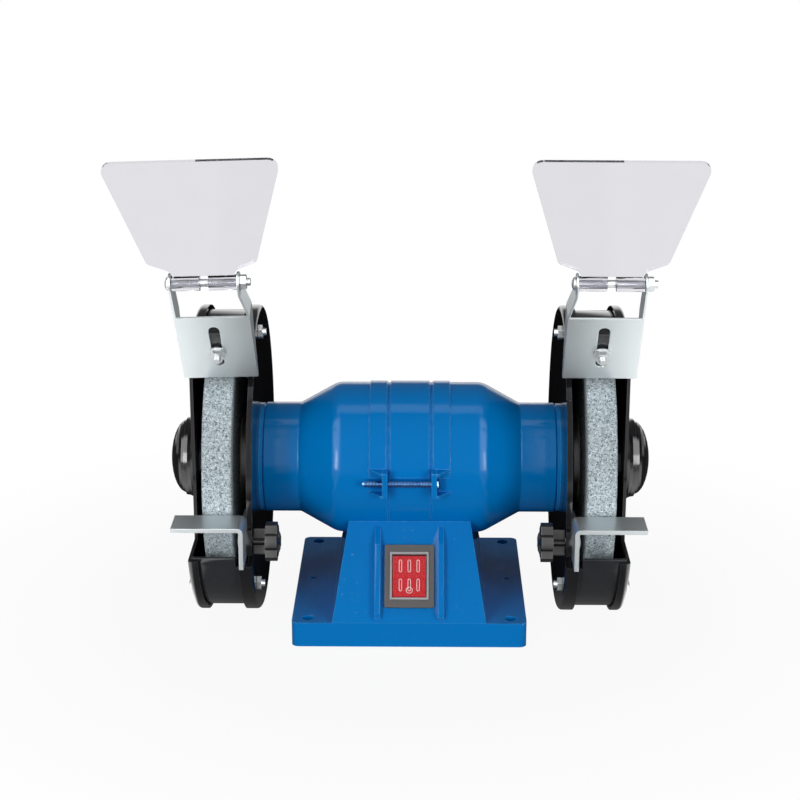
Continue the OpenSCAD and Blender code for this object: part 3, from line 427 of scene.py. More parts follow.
@dataclass(frozen=True)
class Abrasive(Finish):
    """Vitrified grit with open pores."""

    pale: Colour
    dark: Colour
    grain: float
    shine: float = 0.3
    glint: Ramp = Ramp(0.0, 1.0, 0.92, 0.6)

    def lay(self, graph: Graph) -> Inputs:
        """Scatters pale and dark grains over the bond and pits it.

        Args:
            graph: The material's graph.

        Returns:
            The shader's inputs.
        """
        grit = Grit.lay(graph, Grain=self.grain)
        tone = graph.blend(grit["Pale"], self.colour, self.pale)
        return {"Base Color": graph.blend(grit["Dark"], tone, self.dark),
                "Roughness": graph.remap(grit["Pale"], self.glint),
                "Specular IOR Level": self.shine,
                "Normal": graph.bump(grit["Height"], depth_mm=0.14)}


@dataclass(frozen=True)
class ClearSheet(Finish):
    """Clear plastic, with fine scratches and a faint haze."""

    roughness: float = 0.02
    scratch: float = 0.04

    def lay(self, graph: Graph) -> Inputs:
        """Makes it transparent, with handling marks in the roughness.

        Args:
            graph: The material's graph.

        Returns:
            The shader's inputs.
        """
        grain = PlateGrain.lay(graph, Stretch=14.0)
        marks = Ramp(0.55, 1.0, self.roughness, self.roughness + self.scratch)
        faint = shade(self.colour, share=0.985)
        return {"Base Color": graph.blend(grain["Clouds"], self.colour, faint),
                "Roughness": graph.remap(grain["Streaks"], marks),
                "Transmission Weight": 1.0,
                "IOR": 1.28,
                "Normal": graph.bump(grain["Height"], depth_mm=0.003)}


@dataclass(frozen=True)
class Moulded(Finish):
    """Moulded plastic with a fine skin."""

    roughness: float
    skin_mm: float = 0.02
    skin: Cells = Cells(1400.0, 2.0, 0.6)
    flow: Cells = Cells(90.0, 3.0)
    flow_ramp: Ramp = Ramp(0.3, 0.7, 0.0, 0.3)

    def lay(self, graph: Graph) -> Inputs:
        """Lays the colour with a mould texture and paler rubbed edges.

        Args:
            graph: The material's graph.

        Returns:
            The shader's inputs.
        """
        wear_and_highlight = EdgeWearAndHighlight.lay(graph, Reach=0.25, Breakup=0.5)
        skin = graph.noise(self.skin)
        flow = graph.remap(graph.noise(self.flow), self.flow_ramp)
        tone = graph.blend(flow, self.colour, shade(self.colour, share=0.8))
        rubbed = shade(self.colour, share=1.5, lift=0.02)
        dulled = Ramp(0.3, 0.7, self.roughness - 0.05, self.roughness + 0.08)
        return {"Base Color": graph.blend(wear_and_highlight["Mask"], tone, rubbed),
                "Roughness": graph.remap(skin, dulled),
                "Normal": graph.bump(skin, self.skin_mm)}


@dataclass(frozen=True)
class TurnedSteel(Finish):
    """Steel with the fine rings that a lathe leaves about the shaft."""

    roughness: float = 0.24
    pitch: float = 2600.0
    shaft_z: float = 0.089
    oil: Cells = Cells(60.0, 3.0, 0.55)

    def lay(self, graph: Graph) -> Inputs:
        """Draws rings about the shaft line, with oil clouds.

        Args:
            graph: The material's graph.

        Returns:
            The shader's inputs.
        """
        mapping = graph.add("Mapping", {"Location": (0.0, 0.0, -self.shaft_z),
                                        "Vector": graph.place()})
        rings = graph.add("TexWave", {"Scale": self.pitch, "Distortion": 0.6,
                                      "Vector": mapping.outputs[0]},
                          wave_type="RINGS", rings_direction="X", wave_profile="SIN")
        oil = graph.remap(graph.noise(self.oil), Ramp(0.3, 0.7))
        return {"Base Color": graph.blend(oil, self.colour, shade(self.colour, share=0.72)),
                "Metallic": 1.0,
                "Roughness": graph.rise(oil, self.roughness, more=0.12),
                "Normal": graph.bump(rings.outputs["Fac"], depth_mm=0.004)}


@dataclass(frozen=True)
class Plain(Finish):
    """A simple finish for inner pieces: wire, card, brass or drawn can."""

    metallic: float
    roughness: float
    grain: float
    grain_mm: float
    haze: float = 0.12

    def lay(self, graph: Graph) -> Inputs:
        """Lays the colour with a fine grain.

        Args:
            graph: The material's graph.

        Returns:
            The shader's inputs.
        """
        grain = graph.noise(Cells(self.grain, 3.0, 0.6))
        tone = graph.blend(graph.remap(grain, Ramp(0.35, 0.65)), self.colour,
                           shade(self.colour, share=0.78))
        dulled = Ramp(0.3, 0.7, self.roughness, self.roughness + self.haze)
        return {"Base Color": tone, "Metallic": self.metallic,
                "Roughness": graph.remap(grain, dulled),
                "Normal": graph.bump(grain, self.grain_mm)}


# Each enamel's second, paler colour goes on its proud edges as wear and as a painted highlight.
BLUE, BLUE_WEAR_AND_HIGHLIGHT = (0.0, 0.19, 0.56), (0.12, 0.42, 0.75)


@dataclass(frozen=True)
class Finishes:
    """Every finish on the machine."""

    blue: Enamel = Enamel("blue_enamel", BLUE, BLUE_WEAR_AND_HIGHLIGHT, peel_mm=0.03, shine=0.22)
    cast: Enamel = Enamel("cast_enamel", BLUE, BLUE_WEAR_AND_HIGHLIGHT, peel_mm=0.11, gloss=0.1, shine=0.26)
    black: Enamel = Enamel("black_enamel", (0.009, 0.009, 0.011), (0.12, 0.12, 0.13))
    band: Enamel = Enamel("band_enamel", (0.026, 0.028, 0.032), (0.14, 0.14, 0.15))
    zinc: ZincPlate = ZincPlate("zinc_sheet", (0.74, 0.77, 0.77), (0.58, 0.67, 0.65), 0.04, 6.0)
    screw: ZincPlate = ZincPlate("zinc_screw", (0.62, 0.64, 0.65), (0.52, 0.54, 0.53), 0.22)
    painted: ZincPlate = ZincPlate("painted_screw", (0.3, 0.5, 0.75), (0.14, 0.3, 0.55), 0.2)
    steel: TurnedSteel = TurnedSteel("turned_steel", (0.5, 0.5, 0.52))
    ground: Plain = Plain("ground_steel", (0.75, 0.75, 0.77), 1.0, 0.1, 900.0, 0.001)
    wire: Plain = Plain("varnished_wire", (0.5, 0.2, 0.07), 0.8, 0.3, 2400.0, 0.2)
    card: Plain = Plain("blotter_card", (0.7, 0.62, 0.4), 0.0, 0.85, 1800.0, 0.03)
    brass: Plain = Plain("contact_brass", (0.7, 0.52, 0.2), 1.0, 0.3, 800.0, 0.005)
    can: Plain = Plain("drawn_can", (0.75, 0.75, 0.76), 1.0, 0.3, 300.0, 0.01)
    grit: Abrasive = Abrasive("abrasive_grit", (0.44, 0.52, 0.56), (0.86, 0.93, 0.96),
                              (0.08, 0.11, 0.125), 2300.0)
    knob: Moulded = Moulded("black_moulding", (0.014, 0.014, 0.014), 0.38)
    bezel: Moulded = Moulded("bezel_moulding", (0.045, 0.042, 0.042), 0.42, 0.03)
    red: Moulded = Moulded("red_moulding", (0.56, 0.014, 0.022), 0.25, 0.004)
    white: Moulded = Moulded("white_print", (0.85, 0.82, 0.82), 0.4, 0.004)
    shield: ClearSheet = ClearSheet("clear_sheet", (0.755, 0.75, 0.79))
    frame: ClearSheet = ClearSheet("clear_moulding", (0.95, 0.95, 0.97), 0.06)


# ---- mesh tools ----


def deselect_all() -> None:
    """Leaves nothing selected and nothing active."""
    for thing in bpy.context.selected_objects:
        thing.select_set(False)
    bpy.context.view_layer.objects.active = None


def take(*pieces: Piece) -> None:
    """Selects pieces alone and makes the first of them active.

    Args:
        pieces: The pieces.
    """
    deselect_all()
    for piece in pieces:
        piece.select_set(True)
    bpy.context.view_layer.objects.active = pieces[0]


def finish_piece(piece: Piece, name: str, finish: Finish, body: str) -> None:
    """Names and dresses a piece and puts it on its body.

    Args:
        piece: The modelled object.
        name: Its name.
        finish: Its finish.
        body: The body it rides on.
    """
    piece.name = name
    piece.data.name = name
    piece.data.materials.clear()
    piece.data.materials.append(finish.material())
    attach(piece, body)
    LOG.info("piece %s: %d faces on %s", name, len(piece.data.polygons), body)


def edit_all(piece: Piece) -> None:
    """Opens a piece in edit mode with all of it selected.

    Args:
        piece: The piece.
    """
    take(piece)
    bpy.ops.object.mode_set(mode="EDIT")
    bpy.ops.mesh.select_all(action="SELECT")


def leave_edit() -> None:
    """Goes back to object mode."""
    bpy.ops.object.mode_set(mode="OBJECT")


def pick(piece: Piece, test: Callable[[Vector], bool]) -> None:
    """Selects the vertices that pass a test; the piece stays in edit mode.

    Args:
        piece: The piece, in edit mode.
        test: Says of a vertex's place whether it is wanted.
    """
    bpy.ops.mesh.select_mode(type="VERT")
    bpy.ops.mesh.select_all(action="DESELECT")
    leave_edit()
    for vertex in piece.data.vertices:
        vertex.select = test(vertex.co)
    bpy.ops.object.mode_set(mode="EDIT")


def heal(piece: Piece, angle: float = 32.0) -> None:
    """Merges doubles, turns the faces outwards and smooths what is round.

    Args:
        piece: The piece.
        angle: Smallest bend, in degrees, that stays sharp.
    """
    edit_all(piece)
    bpy.ops.mesh.remove_doubles(threshold=SAME_POINT)
    bpy.ops.mesh.normals_make_consistent(inside=False)
    leave_edit()
    bpy.ops.object.shade_smooth_by_angle(angle=radians(angle))


def modify(piece: Piece, kind: str, **settings: object) -> bpy.types.Modifier:
    """Adds a live modifier.

    Args:
        piece: The piece.
        kind: The modifier's type.
        settings: Its settings.

    Returns:
        The modifier.
    """
    made = piece.modifiers.new(kind.lower(), kind)
    for key, value in settings.items():
        setattr(made, key, value)
    return made


def apply_modifier(piece: Piece, kind: str, **settings: object) -> None:
    """Adds a modifier, as modify does, and applies it."""
    take(piece)
    bpy.ops.object.modifier_apply(modifier=modify(piece, kind, **settings).name)


def round_edges(piece: Piece, width_mm: float, segments: int, angle: float = 30.0) -> None:
    """Rounds a piece's edges, where they bend by more than an angle in degrees."""
    apply_modifier(piece, "BEVEL", width=width_mm * MM, segments=segments, limit_method="ANGLE",
                   angle_limit=radians(angle))


def settle(piece: Piece) -> None:
    """Puts a piece's turn and place into its mesh, so that its object is at the origin."""
    take(piece)
    bpy.ops.object.transform_apply(location=True, rotation=True, scale=True)


def start(primitive: Callable[..., set[str]], **settings: object) -> Piece:
    """Adds a primitive about the origin and opens it in edit mode, all selected.

    Args:
        primitive: The operator that adds it.
        settings: Its sizes and its turn.

    Returns:
        The piece.
    """
    deselect_all()
    primitive(location=(0.0, 0.0, 0.0), **settings)
    piece = bpy.context.object
    settle(piece)
    edit_all(piece)
    return piece


def new_block(low: Sequence[float], high: Sequence[float]) -> Piece:
    """Makes a block between two corners.

    Args:
        low: Lowest corner, in millimetres.
        high: Highest corner.

    Returns:
        The block.
    """
    block = start(bpy.ops.mesh.primitive_cube_add, size=1.0)
    bpy.ops.transform.resize(value=[(b - a) * MM for a, b in zip(low, high)])
    bpy.ops.transform.translate(value=[(a + b) / 2 * MM for a, b in zip(low, high)])
    leave_edit()
    return block


def turn_on_shaft(profile: Sequence[Pair], centre: Vector, steps: int = 128) -> Piece:
    """Turns a closed profile about a line along X.

    Args:
        profile: Points as (x, radius), in millimetres, in order round the section.
        centre: A point on the line, in metres.
        steps: Faces round the turn.

    Returns:
        The turned piece.
    """
    piece = start(bpy.ops.mesh.primitive_plane_add, size=MM)
    bpy.ops.mesh.merge(type="CENTER")
    bpy.ops.mesh.select_all(action="SELECT")
    x, radius = profile[0]
    bpy.ops.transform.translate(value=(x * MM, centre.y, centre.z + radius * MM))
    for next_x, next_radius in [*profile[1:], profile[0]]:
        step = ((next_x - x) * MM, 0.0, (next_radius - radius) * MM)
        bpy.ops.mesh.extrude_region_move(TRANSFORM_OT_translate={"value": step})
        x, radius = next_x, next_radius
    bpy.ops.mesh.select_all(action="SELECT")
    bpy.ops.mesh.spin(steps=steps, angle=tau, center=centre, axis=(1.0, 0.0, 0.0))
    leave_edit()
    heal(piece)
    return piece


def fillet(a: Pair, b: Pair, c: Pair, radius: float, steps: int = 5) -> list[Pair]:
    """Rounds the corner b of a profile between a and c.

    Args:
        a: Point before the corner.
        b: The corner.
        c: Point after the corner.
        radius: Radius of the rounding.
        steps: Faces across it.

    Returns:
        The points of the rounding.
    """
    corner = Vector(b)
    back, ahead = (Vector(a) - corner).normalized(), (Vector(c) - corner).normalized()
    half = back.angle(ahead) / 2
    reach = radius / tan(half)
    centre = corner + (back + ahead).normalized() * (radius / sin(half))
    first, last = corner + back * reach - centre, corner + ahead * reach - centre
    return [tuple(centre + first.lerp(last, step / steps).normalized() * radius)
            for step in range(steps + 1)]


def join_pieces(*pieces: Piece) -> Piece:
    """Joins pieces into the first of them.

    Args:
        pieces: The pieces.

    Returns:
        The joined piece.
    """
    take(*pieces)
    bpy.ops.object.join()
    return pieces[0]


def mirror_across(piece: Piece) -> None:
    """Mirrors a piece to the other end of the shaft and turns its faces outwards again.

    Args:
        piece: The piece.
    """
    edit_all(piece)
    bpy.ops.transform.mirror(constraint_axis=(True, False, False), center_override=(0.0, 0.0, 0.0))
    bpy.ops.mesh.normals_make_consistent(inside=False)
    leave_edit()


def both(*stems: str) -> list[str]:
    """Names the left and the right node of each pair."""
    return [f"{stem}_{side.word}" for stem in stems for side in Side]


# ---- the machine ----


@dataclass
class MotorHousing:
    """The end bells, the shell between them, their panel, lugs and long screws. Sizes in mm."""

    shaft_z: float = 89.0
    barrel_r: float = 42.8
    barrel_half: float = 41.0
    neck_r: float = 31.2
    cone_end: float = 62.0
    neck_end: float = 82.0
    spigot_end: float = 84.2
    spigot_in: float = 0.4
    groove: Pair = (0.5, 1.3)
    bore_r: float = 9.0
    web_x: float = 63.0
    seam_half: float = 11.9
    lip: float = 0.5
    wall: float = 3.5
    inner_step: float = 1.0
    barrel_blend: float = 13.0
    neck_blend: float = 3.0
    rim_r: float = 0.9
    panel_h: float = 0.8
    panel_sunk: float = 1.0
    panel_half: float = 22.5
    panel_gap: float = 1.0
    panel_span: Pair = (3.0, 104.0)
    panel_steps: int = 44
    panel_round: float = 0.35
    lug_h: float = 14.7
    lug_t: float = 3.3
    lug_reach: float = 8.0
    lug_root: float = 1.5
    lug_round: float = 0.7
    wedge_t: float = 1.6
    wedge_reach: float = 7.5
    wedge_sunk: float = 0.8
    wedge_in: Pair = (0.3, 0.05)
    wedge_cut: float = 6.4
    wedge_heel: float = 1.3
    wedge_round: float = 0.4
    screw_r: float = 2.2
    screw_tail: float = 10.5
    screw_in: float = 3.6
    tail_r: float = 1.5
    thread_pitch: float = 2.0
    thread_in: Pair = (0.8, 0.04)
    thread_ends: Pair = (0.4, 2.5)
    ring_marks: tuple[float, ...] = (0.25, 0.42, 0.62, 0.86)
    neck_in: float = 0.4
    head_r: float = 3.4
    head_h: float = 2.2736
    head_turns: tuple[int, ...] = (18, 34, 50, 64, 78, 90)
    axle: float = 0.01
    kit: Finishes = Finishes()

    @property
    def line(self) -> Vector:
        """A point on the shaft line, in metres."""
        return Vector((0.0, 0.0, self.shaft_z * MM))

    def bell_profile(self) -> list[Pair]:
        """The bell's section, with its cone blended into the barrel and the neck.

        Returns:
            Points as (x, radius).
        """
        inner, end, neck = self.barrel_r - self.wall, self.neck_end, self.neck_r
        seam, edge = (self.seam_half + self.lip, self.barrel_r), (self.barrel_half, self.barrel_r)
        foot, rim = (self.cone_end, neck), (end - self.rim_r, neck)
        width, depth = self.groove
        return [
            (self.seam_half, inner), (self.seam_half, self.barrel_r - self.lip), seam,
            *fillet(seam, edge, foot, self.barrel_blend, 8),
            *fillet(edge, foot, rim, self.neck_blend),
            *fillet(foot, (end, neck), (end, 0.0), self.rim_r, 4),
            (end, neck - depth), (end + width, neck - depth), (end + width, neck - self.spigot_in),
            (self.spigot_end, neck - self.spigot_in), (self.spigot_end, self.bore_r),
            (self.web_x, self.bore_r), (self.web_x, neck - self.wall),
            (self.cone_end - self.inner_step, neck - self.wall),
            (self.barrel_half - self.inner_step, inner),
        ]

    def panel(self, x_from: float, x_to: float) -> Piece:
        """Raises one stretch of the panel on the barrel, with soft edges.

        Args:
            x_from: Where it starts along the shaft.
            x_to: Where it ends.

        Returns:
            The stretch of panel.
        """
        low, high = self.panel_span
        centre_r = self.barrel_r + self.panel_h / 2 - self.panel_sunk / 2
        piece = start(bpy.ops.mesh.primitive_plane_add, size=1.0, rotation=(pi / 2, 0.0, 0.0))
        bpy.ops.transform.resize(
            value=((x_to - x_from) * MM, 1.0, (self.panel_h + self.panel_sunk) * MM))
        bpy.ops.transform.translate(
            value=((x_from + x_to) / 2 * MM, 0.0, (self.shaft_z + centre_r) * MM))
        bpy.ops.mesh.spin(steps=self.panel_steps, angle=radians(high - low),
                          center=self.line, axis=(1.0, 0.0, 0.0))
        leave_edit()
        heal(piece)
        self.swing(piece, radians(low - 90.0))
        round_edges(piece, self.panel_round, 3, 40.0)
        return piece

    def swing(self, piece: Piece, angle: float) -> None:
        """Swings a piece about the shaft line, its top towards the back for a positive angle.

        Args:
            piece: The piece.
            angle: Angle in radians.
        """
        edit_all(piece)
        bpy.ops.transform.rotate(value=angle, orient_axis="X", center_override=self.line)
        leave_edit()

    def fore_and_aft(self, front: Piece) -> list[Piece]:
        """Copies a front piece to the rear, with its own mesh.

        Args:
            front: The front piece.

        Returns:
            Both pieces.
        """
        take(front)
        bpy.ops.object.duplicate(linked=False)
        rear = bpy.context.object
        self.swing(rear, pi)
        return [front, rear]

    def lug(self) -> Piece:
        """Shapes the front lug of the right bell, with its two wedges.

        Returns:
            The lug.
        """
        low, high = self.shaft_z - self.lug_h / 2, self.shaft_z + self.lug_h / 2
        tip, root = -self.barrel_r - self.lug_reach, -self.barrel_r + self.lug_root
        face = new_block((self.seam_half, tip, low), (self.seam_half + self.lug_t, root, high))
        round_edges(face, self.lug_round, 3)
        margin = self.wedge_in[1]
        heights = low + margin, high - margin - self.wedge_t
        return join_pieces(face, *map(self.wedge, heights))

    def wedge(self, z: float) -> Piece:
        """Shapes a wedge beside the lug, long at the barrel and short at its tip.

        Args:
            z: Height of its lower face.

        Returns:
            The wedge.
        """
        side, tip = self.seam_half + self.lug_t, -self.barrel_r - self.lug_reach
        end, root = side + self.wedge_reach, -self.barrel_r + self.lug_root
        wedge = new_block((side - self.wedge_sunk, tip + self.wedge_in[0], z),
                          (end, root, z + self.wedge_t))
        edit_all(wedge)
        far, out = (end - 0.5) * MM, (tip + 1.0) * MM
        pick(wedge, lambda co: co.x > far and co.y < out)
        bpy.ops.transform.translate(value=(-self.wedge_cut * MM, 0.0, 0.0))
        pick(wedge, lambda co: co.x > far and co.y > out)
        heel = (0.0, -self.wedge_heel * MM, 0.0)
        bpy.ops.mesh.extrude_edges_move(TRANSFORM_OT_translate={"value": heel})
        bpy.ops.mesh.select_all(action="SELECT")
        bpy.ops.mesh.delete(type="ONLY_FACE")
        bpy.ops.mesh.select_all(action="SELECT")
        bpy.ops.mesh.convex_hull()
        leave_edit()
        round_edges(wedge, self.wedge_round, 2)
        return wedge

    def screw(self) -> Piece:
        """Turns the front long screw, with its thread and domed head.

        Returns:
            The screw.
        """
        head = self.seam_half + self.lug_t
        tail = -head - self.screw_tail
        root, crest = (self.screw_r - depth for depth in self.thread_in)
        profile = [(tail, self.axle), (tail, self.tail_r)]
        flat, rise, fall, pace = (mark * self.thread_pitch for mark in self.ring_marks)
        x = tail + self.thread_ends[0]
        while x < head - self.thread_ends[1]:
            profile += [(x, root), (x + flat, root), (x + rise, crest), (x + fall, crest)]
            x += pace
        profile += [(head, self.screw_r - self.neck_in), (head, self.head_r)]
        for angle in map(radians, self.head_turns):
            profile.append((head + self.head_h * sin(angle), self.head_r * cos(angle) + self.axle))
        front = -(self.barrel_r + self.lug_reach - self.screw_in)
        return turn_on_shaft(profile, Vector((0.0, front, self.shaft_z)) * MM, 32)

    def build(self) -> None:
        """Makes the bells, the shell and the screws."""
        for side in Side:
            shell = turn_on_shaft(self.bell_profile(), self.line)
            pad = self.panel(self.seam_half + self.panel_gap, self.panel_half)
            bell = join_pieces(shell, pad, *self.fore_and_aft(self.lug()))
            if side is Side.LEFT:
                mirror_across(bell)
            finish_piece(bell, f"bell_{side.word}", self.kit.blue, "root")
            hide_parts(f"end_bell_{side.word}")
        self.build_shell()
        self.build_screws()

    def build_shell(self) -> None:
        """Makes the plain shell between the bells."""
        lip, half, outer = self.lip, self.seam_half, self.barrel_r
        inner, reach = outer - self.wall, half - self.panel_gap
        shell = turn_on_shaft([(-half, inner), (-half, outer - lip), (lip - half, outer),
                               (half - lip, outer), (half, outer - lip), (half, inner)], self.line)
        shell = join_pieces(shell, self.panel(-reach, reach))
        finish_piece(shell, "middle_shell", self.kit.blue, "root")
        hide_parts("stator_shell")

    def build_screws(self) -> None:
        """Makes the two long screws."""
        screws = join_pieces(*self.fore_and_aft(self.screw()))
        finish_piece(screws, "long_screws", self.kit.painted, "root")
        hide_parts("tie_screws")


@dataclass
class RestKnobs:
    """The two star knobs under the rests. Sizes in mm."""

    centre: Pair = (-72.97, 65.5)
    inner_x: float = 77.3
    hub_end: float = 83.9
    thick: float = 6.6
    radius: float = 10.75
    valley: float = 7.4
    lobes: int = 5
    corners: int = 4
    dome: float = 1.5
    dome_share: float = 0.6
    rings: Pair = (0.9, 2.4)
    end_ring: float = 0.4
    rounding: float = 0.5
    kit: Finishes = Finishes()

    def star(self) -> Piece:
        """Shapes the right knob: a ring of lobes with a domed face and a hub.

        Returns:
            The knob.
        """
        sides, far = self.lobes * self.corners, self.inner_x - self.thick
        at = Vector((0.0, self.centre[0] * MM, self.centre[1] * MM))
        knob = start(bpy.ops.mesh.primitive_cylinder_add, vertices=sides, radius=self.radius * MM,
                     depth=self.thick * MM, end_fill_type="NGON", rotation=(0.0, pi / 2, 0.0))
        bpy.ops.transform.translate(value=((far + self.thick / 2) * MM, at.y, at.z))
        step, depth = tau / sides, self.valley / self.radius

        def corner(co: Vector) -> int:
            """Counts a lobe's corners round from the top."""
            return round(atan2(co.y - at.y, co.z - at.z) / step) % self.corners

        pick(knob, lambda co: corner(co) == self.corners // 2)
        bpy.ops.transform.resize(value=(1.0, depth, depth), center_override=at)
        for x, rise in ((far, -self.dome), (self.inner_x, self.hub_end - self.inner_x)):
            pick(knob, lambda co, cap=x * MM: abs(co.x - cap) < 0.02 * MM)
            for width in self.rings:
                bpy.ops.mesh.inset(thickness=width * MM)
            bpy.ops.mesh.extrude_region_move(
                TRANSFORM_OT_translate={"value": (rise * MM, 0.0, 0.0)})
            if rise < 0:
                bpy.ops.transform.resize(value=(1.0, self.dome_share, self.dome_share),
                                         center_override=at)
            bpy.ops.mesh.inset(thickness=self.end_ring * MM)
        leave_edit()
        round_edges(knob, self.rounding, 2, 50.0)
        apply_modifier(knob, "SUBSURF", levels=2, render_levels=2)
        heal(knob, 60.0)
        return knob

    def build(self) -> None:
        """Makes both knobs."""
        for side in Side:
            knob = self.star()
            if side is Side.LEFT:
                mirror_across(knob)
            finish_piece(knob, f"star_knob_{side.word}", self.kit.knob, f"knob_{side.word}")
            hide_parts(f"rest_knob_{side.word}")


@dataclass
class RockerMarks:
    """The raised pills on the rocker's two faces. Sizes in mm."""

    shaft_z: float = 89.0
    barrel_r: float = 42.8
    base_half: float = 65.0
    base_h: float = 14.2
    slope_top: float = 62.3
    switch_up: float = 26.0
    pivot: float = -1.2
    tilt: float = 5.0
    face_z: float = 3.0
    face_half: Pair = (11.95, 1.1)
    pill_half: float = 2.6
    pill_r: float = 0.72
    line_r: float = 0.17
    columns: tuple[float, ...] = (-4.9, 0.0, 4.9)
    rows: Pair = (5.9, -4.7)
    ring_up: float = -7.6
    ring_r: float = 1.7
    kit: Finishes = Finishes()

    @property
    def slope(self) -> float:
        """The lean of the pedestal's front, in radians from level."""
        run = self.base_half - sqrt(self.barrel_r**2 - (self.shaft_z - self.slope_top)**2)
        return atan2(self.slope_top - self.base_h, run)

    def place(self, across: float, up: float) -> tuple[Vector, float]:
        """Finds a point on the rocker's face.

        Args:
            across: Distance from the middle, along X.
            up: Distance from the dip, up the slope.

        Returns:
            The point in metres, and the face's lean in radians.
        """
        slope, tilt = self.slope, radians(self.tilt)
        face = tilt + copysign(atan2(self.face_half[1], self.face_half[0]), up)
        y = self.switch_up - self.face_z * sin(tilt) + up * cos(face)
        z = self.pivot + self.face_z * cos(tilt) + up * sin(face)
        point = Vector((across, -self.base_half + y * cos(slope) - z * sin(slope),
                        self.base_h + y * sin(slope) + z * cos(slope)))
        return point * MM, slope + face

    def pill(self, across: float, up: float, half: float, radius: float) -> Piece:
        """Shapes one pill outline from a ring.

        Args:
            across: Its place across.
            up: Its place up the slope.
            half: Half the length of its straight sides.
            radius: Radius of its ends.

        Returns:
            The outline.
        """
        point, lean = self.place(across, up)
        ring = start(bpy.ops.mesh.primitive_torus_add, major_segments=24, minor_segments=8,
                     major_radius=radius * MM, minor_radius=self.line_r * MM)
        if half:
            for sign in (1.0, -1.0):
                pick(ring, lambda co, end=sign: co.y * end > SAME_POINT)
                bpy.ops.transform.translate(value=(0.0, sign * half * MM, 0.0))
        leave_edit()
        ring.rotation_euler = (lean, 0.0, 0.0)
        ring.location = point
        settle(ring)
        return ring

    def build(self) -> None:
        """Makes the six pills and the ring at the foot of the middle one."""
        rings = [self.pill(across, up, self.pill_half, self.pill_r)
                 for across in self.columns for up in self.rows]
        rings.append(self.pill(0.0, self.ring_up, 0.0, self.ring_r))
        marks = join_pieces(*rings)
        heal(marks)
        finish_piece(marks, "rocker_marks", self.kit.white, "rocker")


@dataclass
class CarriedNodes:
    """The nodes that keep their own shape, with their finishes and edge rounding."""

    nodes: dict[str, Piece]
    edge_steps: int = 3
    edge_bend: float = 24.0
    flat_bend: float = 0.4
    kit: Finishes = Finishes()

    def soften(self, node: Piece, width_mm: float) -> None:
        """Rounds a node's edges with live modifiers.

        Args:
            node: The node's object.
            width_mm: Width of each rounded edge.
        """
        modify(node, "WELD", merge_threshold=SAME_POINT)
        modify(node, "DECIMATE", decimate_type="DISSOLVE", angle_limit=radians(self.flat_bend))
        modify(node, "BEVEL", width=width_mm * MM, segments=self.edge_steps, limit_method="ANGLE",
               angle_limit=radians(self.edge_bend), use_clamp_overlap=True, harden_normals=True)

    def dress(self) -> None:
        """Dresses every node and rounds the edges that show."""
        kit = self.kit
        groups: list[tuple[Finish, float, list[str]]] = [
            (kit.cast, 1.0, ["base_casting"]),
            (kit.blue, 0.0, [*both("end_bell"), "stator_shell"]),
            (kit.black, 0.0, both("guard_back", "side_cover")),
            (kit.band, 0.5, both("guard_band")),
            (kit.zinc, 0.35, both("tool_rest", "shield_bracket")),
            (kit.zinc, 0.0, ["capacitor_clamp", "bottom_cover"]),
            (kit.screw, 0.25, [*both("rest_bolt", "hinge_screw"), "guard_screws", "guard_nuts",
                               "bracket_screws", "bracket_nuts", "spindle_nuts"]),
            (kit.screw, 0.0, ["tie_screws", "bottom_cover_screws", "capacitor_clamp_screw",
                              "saddle_screws", "guard_mount_screws"]),
            (kit.steel, 0.0, ["shaft", "inner_flanges", "outer_flanges", "preload_washer",
                              "rotor_core", "stator_core"]),
            (kit.ground, 0.0, ["bearing_outer_races", "bearing_inner_races", "bearing_balls"]),
            (kit.wire, 0.0, ["windings"]),
            (kit.card, 0.0, ["wheel_washers"]),
            (kit.brass, 0.0, ["switch_terminals"]),
            (kit.can, 0.0, ["capacitor"]),
            (kit.grit, 0.5, both("wheel")),
            (kit.knob, 0.0, [*both("rest_knob"), "cable_gland"]),
            (kit.bezel, 0.5, ["switch_housing"]),
            (kit.red, 0.3, ["switch_rocker"]),
            (kit.shield, 0.35, both("eye_shield")),
            (kit.frame, 0.25, ["switch_frame"]),
        ]
        for finish, width, names in groups:
            for name in names:
                node = self.nodes[name]
                for place in node.material_slots:
                    place.link = "OBJECT"
                    place.material = finish.material()
                if width:
                    self.soften(node, width)
                LOG.info("node %s wears %s", name, finish.name)


@dataclass(frozen=True)
class SoftBox:
    """An area lamp: its place, its two sizes and its power."""

    name: str
    at: Spot
    size: Pair
    power: float


